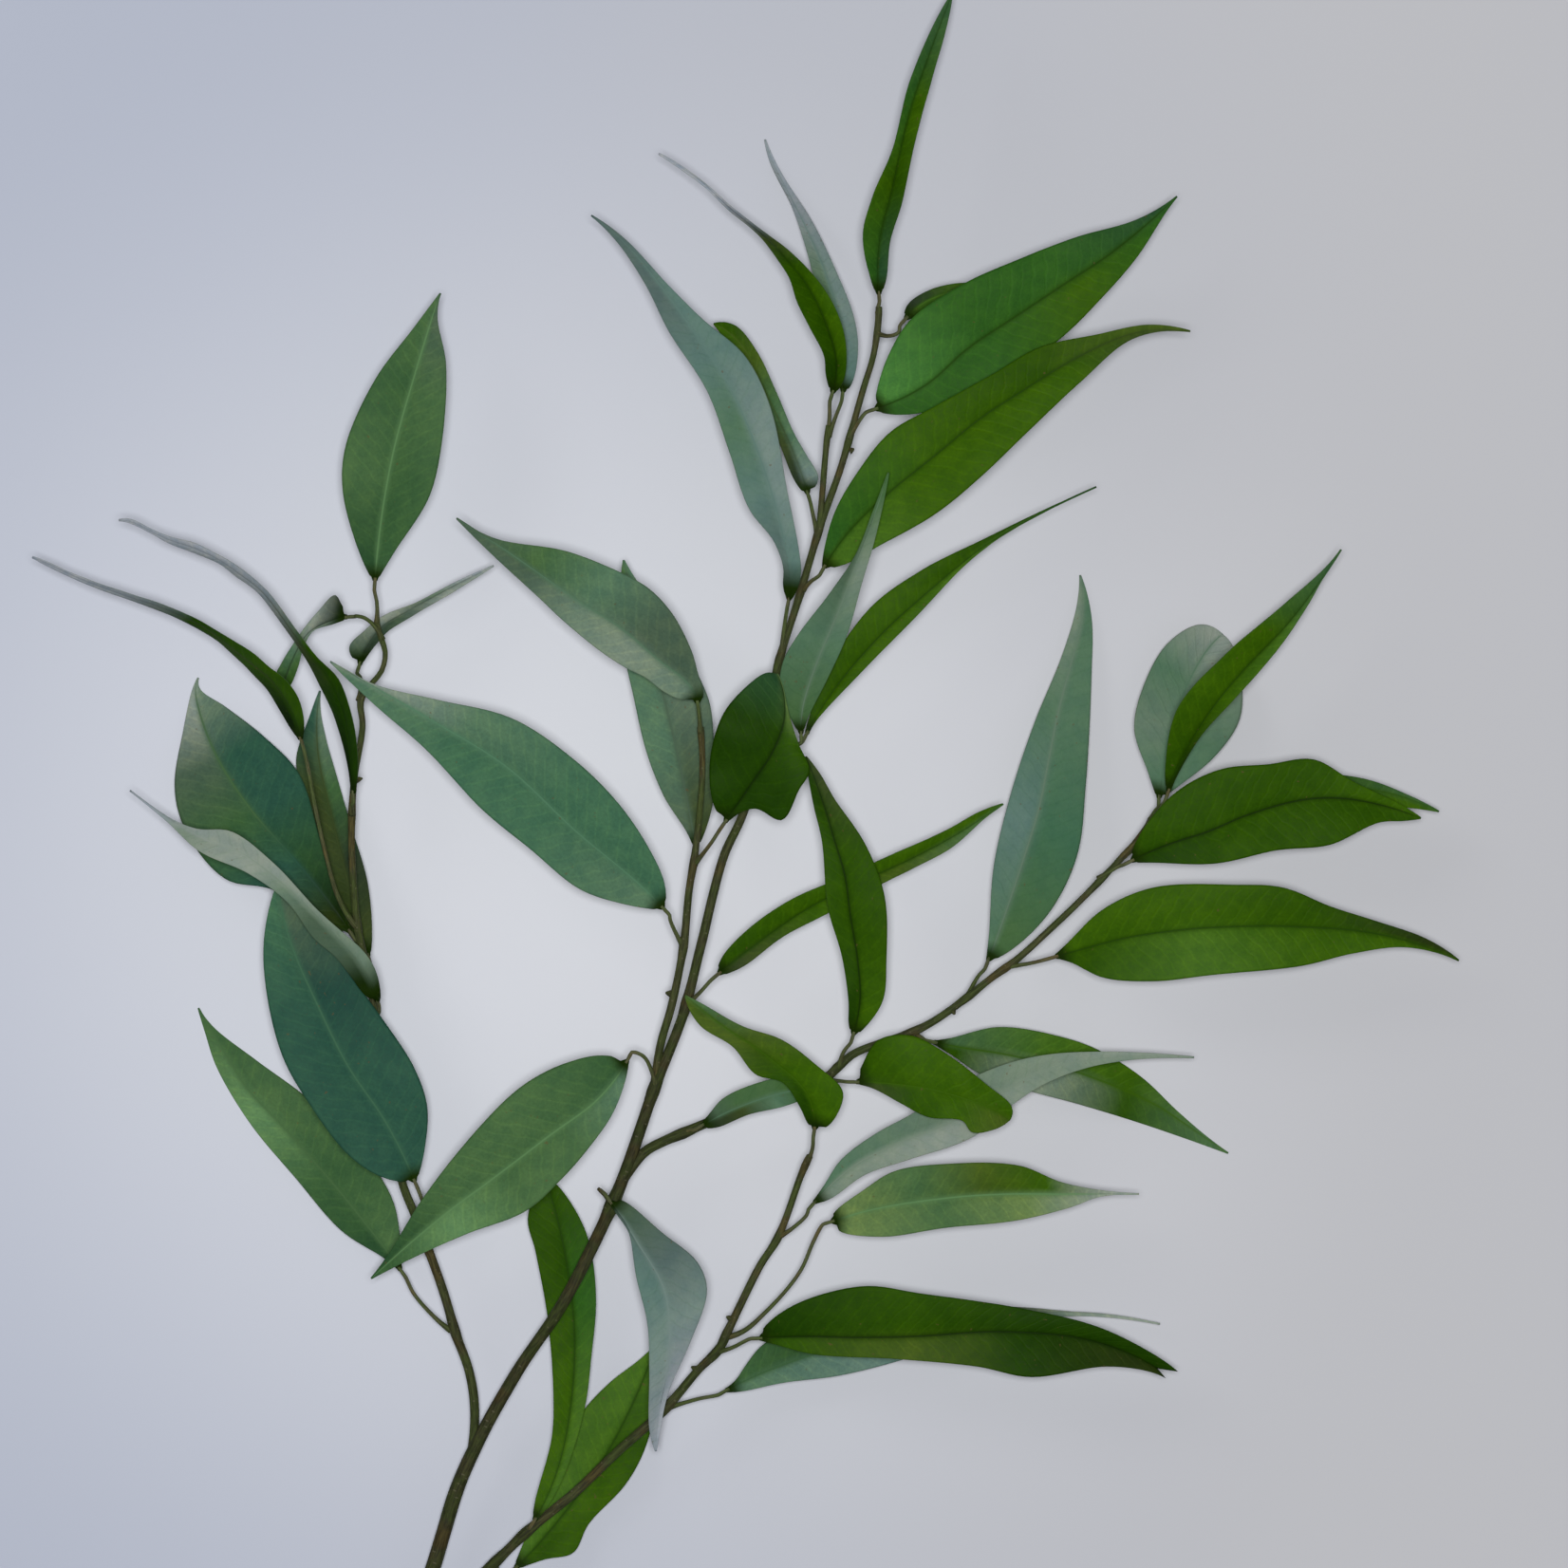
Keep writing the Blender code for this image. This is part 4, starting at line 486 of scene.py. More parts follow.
def spot(x, y, height=0.0):
    """The point in metres that the view shows at pixel x, y, this many mm above the surface."""
    shrink = PIXEL * (1 - height * MM / VIEW_HEIGHT)
    middle = VIEW_PIXELS / 2
    return np.array([(x - middle) * shrink, (middle - y) * shrink, height * MM])


def smooth_curve(points, shares):
    """Points at the given shares of the length of a smooth curve through the given points."""
    points = np.array(points, float)
    steps = np.sqrt(np.linalg.norm(np.diff(points, axis=0), axis=1))
    knots = np.concatenate([[0], np.cumsum(steps)])
    slopes = np.gradient(points, knots, axis=0, edge_order=min(2, len(points) - 1))
    dense = []
    for start in range(len(points) - 1):
        span = knots[start + 1] - knots[start]
        for part in np.linspace(0, 1, CURVE_PARTS, endpoint=False):
            square, cube = part ** 2, part ** 3
            dense.append((2 * cube - 3 * square + 1) * points[start]
                         + (cube - 2 * square + part) * span * slopes[start]
                         + (3 * square - 2 * cube) * points[start + 1]
                         + (cube - square) * span * slopes[start + 1])
    dense.append(points[-1])
    dense = np.array(dense)
    lengths = np.concatenate([[0], np.cumsum(np.linalg.norm(np.diff(dense, axis=0), axis=1))])
    wanted = np.array(shares) * lengths[-1]
    return np.stack([np.interp(wanted, lengths, axis) for axis in dense.T], axis=1)


def unit(vector):
    return vector / np.linalg.norm(vector)


def rib_curve(form, shares):
    """Points on a leaf's rib in metres, before the narrowing of the view with height."""
    flat = [spot(x, y) + (0, 0, height * MM) for x, y, height in form.rib]
    return smooth_curve(flat, shares)


def edge_pixels(form, side):
    """One edge of a leaf in pixels, from beside its base to beside its tip. side is 1 for left."""
    rib = np.array(form.rib, float)[:, :2]
    ends = smooth_curve(rib, [0, END_SHARE, 1 - END_SHARE, 1])
    near_base, near_tip = np.diff(ends, axis=0)[::2]
    first, last = unit(near_base), unit(near_tip)
    base = rib[0] + side * BASE_HALF_WIDTH * np.array([first[1], -first[0]])
    tip = rib[-1] + side * TIP_HALF_WIDTH * np.array([last[1], -last[0]])
    if form.prongs:
        tip = form.prongs[0 if side > 0 else 1]
    listed = form.left if side > 0 else form.right
    return [tuple(base)] + listed + [tuple(tip)]


def blade_middle(name, form, shares):
    """The middle surface of a leaf: its left edge, rib and right edge at the given shares."""
    shares = np.array(shares)
    rib = rib_curve(form, shares)
    rib[:, 2] = np.maximum(rib[:, 2], LOWEST_RIB * MM)
    along = np.gradient(rib[:, :2], axis=0)
    along /= np.linalg.norm(along, axis=1, keepdims=True)
    forward = along[0]
    turn = int(name[-2:]) * WAVE_TURN
    twist = np.minimum(shares / TWIST_END, 1)
    rows = []
    for side, which in ((1, 0), (-1, 1)):
        edge = smooth_curve([spot(*point) for point in edge_pixels(form, side)], shares)
        outward = side * np.stack([-along[:, 1], along[:, 0]], axis=1)
        width = ((edge - rib)[:, :2] * outward).sum(axis=1)
        short = np.maximum(TIP_HALF_WIDTH * PIXEL - width, 0)
        edge[:, :2] += outward * short[:, None]
        ahead = ((edge - rib[0])[1:, :2] * forward).sum(axis=1)
        edge[1:, :2] += forward * np.maximum(NECK - ahead, 0)[:, None]
        reach = np.linalg.norm(edge[:, :2] - rib[:, :2], axis=1)
        base_rise, tip_rise = form.rise[0][which], form.rise[1][which]
        slope = np.tan(np.radians(base_rise + (tip_rise - base_rise) * twist))
        sway = np.sin(2 * math.pi * WAVE_COUNT * shares + turn + which * EDGES_APART)
        swell = np.minimum(1, reach / WAVE_REACH) * form.wave * WAVE_HEIGHT
        edge[:, 2] = np.maximum(rib[:, 2] + reach * slope + sway * swell, LOWEST_RIB * MM)
        rows.append(edge)
    sheet = np.stack([rows[0], rib, rows[1]], axis=1)
    sheet[:, :, :2] *= (1 - sheet[:, :, 2:] / VIEW_HEIGHT)
    return sheet


def sheet_normals(sheet):
    """The upward normals of a sheet of points, by the directions to its neighbours."""
    along = np.gradient(sheet, axis=0)
    across = np.gradient(sheet, axis=1)
    normals = np.cross(across, along)
    return normals / np.linalg.norm(normals, axis=2, keepdims=True)


def station_shares(parts):
    """Shares of a leaf's length at which it has points, closer together at both ends."""
    steps = np.arange(parts + 1) / parts
    return EVEN_SHARE * steps + (1 - EVEN_SHARE) * (1 - np.cos(math.pi * steps)) / 2


def view_middle():
    """Where the view's middle stands on the surface in the frame, from the solid of one leaf."""
    sheet = blade_middle("leaf_44", LEAVES["leaf_44"], station_shares(STATIONS))
    offset = sheet_normals(sheet) * BLADE_THICKNESS / 2
    own_low = np.minimum((sheet + offset).min(axis=(0, 1)), (sheet - offset).min(axis=(0, 1)))
    return np.array(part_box("leaf_44")[0]) - own_low


MIDDLE = view_middle()

# Paint: what each leaf's two halves look like from base to tip, and its rib, painted light and shade
# included
PAINTS = {
    "night": (19, 35, 6),
    "pine": (31, 58, 6),
    "bottle": (42, 73, 44),
    "dusk": (41, 53, 38),
    "fern": (43, 74, 6),
    "leaf": (53, 86, 12),
    "lime": (64, 99, 30),
    "grass": (45, 86, 30),
    "emerald": (66, 115, 53),
    "moss": (57, 89, 54),
    "sage": (69, 100, 62),
    "soft_sage": (80, 120, 92),
    "light_sage": (92, 129, 84),
    "jade": (63, 101, 76),
    "haze": (81, 112, 88),
    "teal": (44, 80, 65),
    "shade_teal": (35, 68, 58),
    "slate": (72, 92, 74),
    "mist": (99, 120, 102),
    "silver": (116, 132, 116),
    "frost": (134, 145, 135),
    "steel": (125, 134, 139),
    "lead": (112, 119, 126),
    "pale_steel": (150, 157, 166),
    "olive": (55, 68, 35),
    "dark_olive": (37, 50, 18),
    "straw": (98, 122, 72),
    "khaki": (65, 86, 29),
    "sea": (91, 118, 110),
    "pale_sea": (112, 131, 125),
    "blue_grey": (84, 102, 98),
}
# Besides each leaf's own colour, the half words hold painted light and shade: the halves of a folded leaf
# lighter or darker as the light falls on them, and painted shade near bases and under other leaves
TONES = {
    "leaf_01": ("bottle sage moss sage", "moss moss sage slate", "light_sage"),
    "leaf_02": ("night pine olive steel steel pale_steel",
                 "pine pine fern steel pale_steel pale_steel", "pine pine olive lead steel"),
    "leaf_03": ("night fern pine steel pale_steel", "fern fern pine steel pale_steel",
                 "pine olive olive lead steel"),
    "leaf_04": ("night mist sage fern", "dusk frost haze fern", "dusk"),
    "leaf_05": ("slate frost mist pale_steel", "dusk slate frost frost", "dusk slate mist silver"),
    "leaf_06": ("mist silver mist slate slate", "slate slate haze sage slate", "haze"),
    "leaf_07": ("haze jade jade haze", "jade jade haze frost", "soft_sage"),
    "leaf_08": ("dark_olive teal moss slate frost", "night bottle teal teal mist",
                 "dusk teal sage sage moss"),
    "leaf_09": ("night slate slate mist frost frost silver pale_steel", "mist silver frost frost steel",
                 "slate mist silver frost steel"),
    "leaf_10": ("dark_olive olive olive teal", "olive dusk moss mist", "olive"),
    "leaf_11": ("teal teal teal jade", "teal teal shade_teal slate", "jade"),
    "leaf_12": ("bottle moss light_sage sage", "sage moss sage moss", "sage"),
    "leaf_13": ("haze sage sage light_sage moss", "moss sage sage bottle", "light_sage"),
    "leaf_14": ("leaf leaf fern fern", "lime lime grass fern", "pine"),
    "leaf_15": ("lime lime lime lime", "fern leaf fern lime", "pine"),
    "leaf_16": ("slate blue_grey pale_sea steel pale_steel", "blue_grey sea pale_sea steel",
                 "pale_sea pale_sea steel"),
    "leaf_17": ("slate haze haze sage", "olive slate mist haze", "slate"),
    "leaf_18": ("pine pine pine bottle", "pine pine fern straw", "night"),
    "leaf_19": ("grass leaf grass moss", "bottle fern leaf moss", "pine"),
    "leaf_20": ("pine fern fern fern olive lead pale_steel pale_steel",
                 "fern leaf leaf fern olive lead pale_steel pale_steel", "night pine pine lead steel"),
    "leaf_21": ("fern sage mist steel steel", "sea pale_sea pale_sea steel pale_steel", "sea"),
    "leaf_22": ("dusk olive moss khaki leaf", "pale_sea haze sage khaki fern", "slate olive khaki khaki"),
    "leaf_23": ("blue_grey sea haze sea blue_grey blue_grey",
                 "sea pale_sea pale_sea sea sea blue_grey", "sea"),
    "leaf_24": ("emerald grass grass bottle", "grass grass leaf grass", "pine"),
    "leaf_25": ("dusk leaf grass leaf", "fern grass lime fern", "lime"),
    "leaf_26": ("grass leaf fern khaki", "lime leaf leaf leaf olive", "pine pine pine olive"),
    "leaf_27": ("sage haze slate sage", "sage haze silver sage", "mist"),
    "leaf_28": ("fern leaf fern pine", "leaf leaf lime moss", "pine"),
    "leaf_29": ("pine fern fern pine", "leaf fern fern olive", "night"),
    "leaf_30": ("fern leaf leaf leaf", "olive leaf khaki sage", "pine"),
    "leaf_31": ("pine fern khaki khaki", "leaf leaf khaki sage", "leaf"),
    "leaf_32": ("slate sage sage leaf", "dusk olive haze fern", "haze"),
    "leaf_33": ("fern leaf leaf leaf", "olive fern leaf khaki", "leaf"),
    "leaf_34": ("sage lime leaf sage", "fern silver fern sage", "leaf"),
    "leaf_35": ("haze mist silver frost", "silver frost silver silver", "silver"),
    "leaf_36": ("straw sage khaki leaf frost", "straw sage straw frost", "light_sage"),
    "leaf_37": ("pine fern pine pine", "fern khaki pine dark_olive", "night"),
    "leaf_38": ("moss pine olive frost", "haze sea haze frost", "moss moss haze frost"),
    "leaf_39": ("haze sea haze silver", "sage jade haze haze", "mist"),
    "leaf_40": ("haze mist haze frost", "haze haze mist frost", "haze"),
    "leaf_41": ("fern leaf leaf moss", "night leaf lime moss", "pine"),
    "leaf_42": ("fern fern fern leaf", "pine fern fern fern", "night"),
    "leaf_43": ("fern fern fern moss", "fern fern fern leaf", "fern"),
    "leaf_44": ("leaf leaf fern dark_olive", "fern lime leaf leaf", "pine"),
}
HIDDEN_UNDERSIDE = "mist silver silver frost"  # the side of a green leaf that faces down
HIDDEN_UPPER = "fern leaf leaf fern"  # the upper side of a leaf that shows its underside
TONE_ENDS = (0.08, 0.92)  # shares of a leaf's length that have its first and its last word
SCREEN_KNEE = 0.04045  # the usual curve of screen colours
SCREEN_SLOPE = 12.92
SCREEN_LIFT = 0.055
SCREEN_POWER = 2.4
LIGHT_ON_PAINT = 0.98  # how bright the light makes white paint
SHEEN = 0.003  # light that a leaf reflects whatever its paint
BARK_BROWN = (52, 54, 34)
TWIG_OLIVE = (66, 71, 45)
STALK_GREY = (82, 87, 63)
NECK_GREEN = (26, 42, 10)  # where a blade runs into its stalk
NECK_REACH = 0.007  # how far that colour reaches up a blade
LONG_NECKS = {"leaf_09": 0.016, "leaf_23": 0.014}  # the same, where it goes further
NECK_DEPTH = 1.6  # above 1, the blade has that colour alone nearest the stalk
HALVES_BLEND = 0.003  # over this width the colours of a leaf's halves run together


def paint(colour):
    """Linear colour of paint that the light makes look like an 8-bit screen colour."""
    screen = np.array(colour) / 255
    curved = ((screen + SCREEN_LIFT) / (1 + SCREEN_LIFT)) ** SCREEN_POWER
    linear = np.where(screen <= SCREEN_KNEE, screen / SCREEN_SLOPE, curved)
    return np.maximum(linear - SHEEN, 0) / LIGHT_ON_PAINT


def tone_at(words, shares):
    """Colours at shares of a leaf's length, from a string of paint names."""
    colours = np.array([paint(PAINTS[word]) for word in words.split()])
    places = np.linspace(*TONE_ENDS, len(colours))
    return np.stack([np.interp(shares, places, channel) for channel in colours.T], axis=1)


class Blade:
    """The fine form of one leaf: rows of points from base to tip, columns from left to right."""

    def __init__(self, name, form):
        self.name = name
        self.number = int(name[-2:])
        self.form = form
        self.shares = station_shares(LENGTH_PARTS)
        middle = blade_middle(name, form, self.shares)
        self.rib = middle[:, 1]
        lengths = np.linalg.norm(np.diff(self.rib, axis=0), axis=1)
        self.along = np.concatenate([[0], np.cumsum(lengths)])
        left, left_reach = self.half(middle[:, 0])
        right, right_reach = self.half(middle[:, 2])
        self.sheet = np.concatenate([left[:, ::-1], self.rib[:, None], right], axis=1)
        on_rib = np.zeros((LENGTH_PARTS + 1, 1))
        self.across = np.concatenate([left_reach[:, ::-1], on_rib, -right_reach], axis=1)
        widest = np.stack([left_reach[:, -1], right_reach[:, -1]], axis=1)
        sides = np.where(self.across >= 0, widest[:, :1], widest[:, 1:])
        self.edge = np.abs(self.across) / sides
        self.width = sides

    def half(self, edge):
        """The points of one half from beside the rib to the edge, and how far out each is."""
        way = edge - self.rib
        reach = np.linalg.norm(way, axis=1)
        near = [np.minimum(most, reach * share) for most, share in zip(RIB_REACHES, NEAR_RIB_SHARES)]
        outer = [near[1] + (reach - near[1]) * share for share in BLADE_COLUMNS]
        reaches = np.stack(near + outer, axis=1)
        points = self.rib[:, None] + way[:, None] * (reaches / reach[:, None])[:, :, None]
        return points, reaches

    def lifted(self):
        """The sheet with its arched halves, puckers and rippled edges."""
        normals = sheet_normals(self.sheet)
        fade = np.sin(math.pi * np.clip(self.shares, FADE_END, 1 - FADE_END)) ** FADE_CURVE
        arch = np.sin(math.pi * self.edge) * self.width * ARCH
        lift = arch * fade[:, None]
        for row, along in enumerate(self.along):
            for column, across in enumerate(self.across[row]):
                spread = self.edge[row, column]
                place = Vector((along / PUCKER_LENGTH, across / PUCKER_WIDTH,
                                self.number * PUCKER_TURN))
                lift[row, column] += noise.noise(place) * PUCKER * math.sin(math.pi * spread) * fade[row]
                ripple = Vector((along / RIPPLE_LENGTH, np.sign(across) * RIPPLE_SIDES,
                                 self.number * RIPPLE_TURN))
                lift[row, column] += noise.noise(ripple) * EDGE_RIPPLE * spread ** 2 * fade[row]
        if self.form.wave == 0:
            lift *= FLAT_LEAF_LIFT
        return self.sheet + normals * lift[:, :, None]

    def faces(self):
        """The two faces of the blade, the one that faces up first."""
        sheet = self.lifted()
        normals = sheet_normals(sheet)
        thickness = BLADE_BODY + (BLADE_RIM - BLADE_BODY) * self.edge ** RIM_CURVE
        taper = (1 - self.shares)[:, None] ** RIB_TAPER
        beside_rib = np.clip(1 - np.abs(self.across) / RIB_REACHES[1], 0, 1) ** RIB_ROUND
        ridge = RIB_RIDGE * taper * beside_rib
        groove = -RIB_GROOVE * taper ** GROOVE_TAPER * beside_rib
        upper, lower = (ridge, groove) if self.form.pale else (groove, ridge)
        top = sheet + normals * (thickness / 2 + upper)[:, :, None]
        bottom = sheet - normals * (thickness / 2 + lower)[:, :, None]
        return top, bottom


def new_object(name, data):
    made = bpy.data.objects.new(name, data)
    bpy.context.scene.collection.objects.link(made)
    return made


def new_attribute(data, name, kind, values):
    attribute = data.attributes.new(name, kind, "POINT")
    field = {"FLOAT": "value", "FLOAT_COLOR": "color", "FLOAT_VECTOR": "vector"}[kind]
    attribute.data.foreach_set(field, np.array(values, dtype=np.float32).ravel())


def with_alpha(colours):
    return np.concatenate([colours, np.ones((*colours.shape[:-1], 1))], axis=-1)


def leaf_tints(blade, left, right):
    """Colours of one face of a leaf, for each point, from the words of its two halves, with the painted
    light and shade that they hold.
    """
    left_share = np.clip(0.5 + blade.across / HALVES_BLEND, 0, 1)[:, :, None]
    tints = (tone_at(left, blade.shares)[:, None] * left_share
             + tone_at(right, blade.shares)[:, None] * (1 - left_share))
    reach = LONG_NECKS.get(blade.name, NECK_REACH)
    neck = np.clip(NECK_DEPTH * (1 - blade.along / reach), 0, 1)[:, None, None]
    return (tints + (paint(NECK_GREEN) - tints) * neck).reshape(-1, 3)


def leaf_piece(name, form, materials):
    blade = Blade(name, form)
    top, bottom = blade.faces()
    points = np.concatenate([top.reshape(-1, 3), bottom.reshape(-1, 3)]) + MIDDLE
    points[:, 2] = np.maximum(points[:, 2], FLOOR_CLEARANCE)
    rows, columns = blade.across.shape
    under = rows * columns
    faces, looks = [], []
    for row in range(rows - 1):
        for column in range(columns - 1):
            corner = row * columns + column
            square = (corner, corner + 1, corner + columns + 1, corner + columns)
            faces.append(square)
            faces.append(tuple(point + under for point in reversed(square)))
            looks += [0, 1]
    around = [(0, column) for column in range(columns)]
    around += [(row, columns - 1) for row in range(1, rows)]
    around += [(rows - 1, column) for column in range(columns - 2, -1, -1)]
    around += [(row, 0) for row in range(rows - 2, 0, -1)]
    rim = [row * columns + column for row, column in around]
    for here, following in zip(rim, rim[1:] + rim[:1]):
        faces.append((following, here, here + under, following + under))
        looks.append(0)
    data = bpy.data.meshes.new(name + "_blade")
    data.from_pydata(points.tolist(), [], faces)
    order = ("leaf_underside", "leaf_upper") if form.pale else ("leaf_upper", "leaf_underside")
    for slot in order:
        data.materials.append(materials[slot])
    data.polygons.foreach_set("material_index", looks)
    data.polygons.foreach_set("use_smooth", [True] * len(faces))
    # The half words carry painted light and shade as well as the leaf's own colour
    left, right, rib = TONES[name]
    hidden = HIDDEN_UPPER if form.pale else HIDDEN_UNDERSIDE
    tints = np.concatenate([leaf_tints(blade, left, right), leaf_tints(blade, hidden, hidden)])
    new_attribute(data, "tint", "FLOAT_COLOR", with_alpha(tints))
    # The rib's colour: the rib's own pale colour, or painted shade in the crease of a dark rib
    rib_and_crease_shade_tints = np.tile(leaf_tints(blade, rib, rib), (2, 1))
    new_attribute(data, "rib_and_crease_shade_tint", "FLOAT_COLOR", with_alpha(rib_and_crease_shade_tints))
    along = np.broadcast_to(blade.along[:, None], blade.across.shape)
    place = np.stack([along, blade.across, np.full_like(along, blade.number * LEAF_APART)], axis=2)
    new_attribute(data, "place", "FLOAT_VECTOR", np.tile(place.reshape(-1, 3) / MM, (2, 1)))
    new_attribute(data, "edge", "FLOAT", np.tile(blade.edge.ravel(), 2))
    data.update()
    made = new_object(name + "_blade", data)
    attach(made, "root")
    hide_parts(name)


class Shell:
    """Points, faces and their paint, gathered for one mesh."""

    def __init__(self):
        self.points, self.faces, self.looks = [], [], []
        self.places, self.tints = [], []

    def tube(self, centres, radii, sides, tints, number, roughness):
        """A closed tube round a line of centres, with uneven bark and both ends closed flat."""
        start = len(self.points)
        tangents = np.gradient(centres, axis=0)
        lengths = np.concatenate([[0], np.cumsum(np.linalg.norm(np.diff(centres, axis=0), axis=1))])
        for centre, radius, tangent, along, tint in zip(centres, radii, tangents, lengths, tints):
            forward = Vector(tangent).normalized()
            sideways = forward.cross(Vector((0, 0, 1))).normalized()
            upward = sideways.cross(forward)
            for side in range(sides):
                angle = 2 * math.pi * (side + 0.5) / sides - math.pi / 2
                outward = sideways * math.cos(angle) + upward * math.sin(angle)
                lengthways = Vector((along / LUMP_LENGTH, math.cos(angle) * LUMPS_ROUND,
                                     math.sin(angle) * LUMPS_ROUND))
                lumps = noise.noise(lengthways + Vector((0, 0, number * LUMP_TURN)))
                point = Vector(centre) + outward * radius * (1 + roughness * lumps)
                self.add_point(point)
                self.places.append((along / MM, angle, number * BARK_TURN))
                self.tints.append(tint)
        rings = len(centres)
        for ring in range(rings - 1):
            for side in range(sides):
                near = start + ring * sides
                following = (side + 1) % sides
                self.faces.append((near + side, near + following, near + sides + following,
                                   near + sides + side))
                self.looks.append(0)
        self.cap(start, sides, centres[0], tints[0], reverse=True, look=1 if number == 0 else 0)
        self.cap(start + (rings - 1) * sides, sides, centres[-1], tints[-1], reverse=False, look=0)

    def add_point(self, point):
        placed = np.array(point) + MIDDLE
        placed[2] = max(placed[2], FLOOR_CLEARANCE)
        self.points.append(placed)

    def cap(self, first, sides, centre, tint, reverse, look):
        """Closes a tube's end with triangles round its middle."""
        middle = len(self.points)
        self.add_point(centre)
        self.places.append((0, 0, 0))
        self.tints.append(tint)
        for side in range(sides):
            corner, following = first + side, first + (side + 1) % sides
            face = (following, corner, middle) if reverse else (corner, following, middle)
            self.faces.append(face)
            self.looks.append(look)

    def object(self, name, materials):
        data = bpy.data.meshes.new(name)
        data.from_pydata([tuple(point) for point in self.points], [], self.faces)
        for material in materials:
            data.materials.append(material)
        data.polygons.foreach_set("material_index", self.looks)
        data.polygons.foreach_set("use_smooth", [True] * len(self.faces))
        new_attribute(data, "place", "FLOAT_VECTOR", self.places)
        new_attribute(data, "tint", "FLOAT_COLOR", with_alpha(np.array(self.tints)))
        data.update()
        return new_object(name, data)


def even_line(points, step):
    """Points evenly spread along a smooth curve, and their shares of its length."""
    points = np.array(points)
    length = np.linalg.norm(np.diff(points, axis=0), axis=1).sum()
    shares = np.linspace(0, 1, max(FEWEST_RINGS, round(length / step) + 1))
    return smooth_curve(points, shares), shares


def spread(values, shares):
    return np.interp(shares, np.linspace(0, 1, len(values)), values)


def blend_colours(first, second, shares):
    first, second = paint(first), paint(second)
    return first + (second - first) * shares[:, None]


def stem_piece(materials):
    shell = Shell()
    roots = np.array([spot(*form.stalk[0]) for form in LEAVES.values()])
    for number, twig in enumerate(TWIGS.values()):
        centres, shares = even_line([spot(*point) for point in twig.path], RING_STEP)
        radii = spread(twig.radii, shares) * MM
        nearest = np.linalg.norm(centres[:, None] - roots[None], axis=2).min(axis=1)
        radii *= 1 + JOINT_SWELL * np.exp(-(nearest / JOINT_LENGTH) ** 2)
        thin = np.clip((BARK_RADIUS * MM - radii) / (BARK_FADE * MM), 0, 1)
        sides = STEM_SIDES if number == 0 else TWIG_SIDES
        shell.tube(centres, radii, sides, blend_colours(BARK_BROWN, TWIG_OLIVE, thin), number,
                   BARK_ROUGH)
    for number, form in enumerate(LEAVES.values()):
        base, further = rib_curve(form, [0, END_SHARE])
        forward = unit(further - base)
        base[:2] *= 1 - base[2] / VIEW_HEIGHT
        path = [spot(*point) for point in form.stalk]
        path += [base - forward * short for short in (*STALK_APPROACH, SEAT_GAP)]
        path += [base + forward * STALK_RUN_ON]
        centres, shares = even_line(path, STALK_RING_STEP)
        radii = spread(STALK_RADII, shares) * MM
        shell.tube(centres, radii, STALK_SIDES, blend_colours(TWIG_OLIVE, STALK_GREY, shares),
                   number + STALKS_FROM, BARK_ROUGH)
    for number, (foot, lean) in enumerate(NUBS):
        reach = np.linspace(0, 1, len(NUB_RADII))[:, None]
        end = spot(foot[0] + lean[0], foot[1] + lean[1], foot[2])
        centres = spot(*foot) + reach * (end - spot(*foot))
        tints = blend_colours(BARK_BROWN, TWIG_OLIVE, reach[:, 0])
        shell.tube(centres, np.array(NUB_RADII) * MM, STALK_SIDES, tints, number + NUBS_FROM,
                   BARK_ROUGH)
    made = shell.object("stem_wood", [materials["bark"], materials["cut_wood"]])
    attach(made, "root")
    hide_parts("stem")


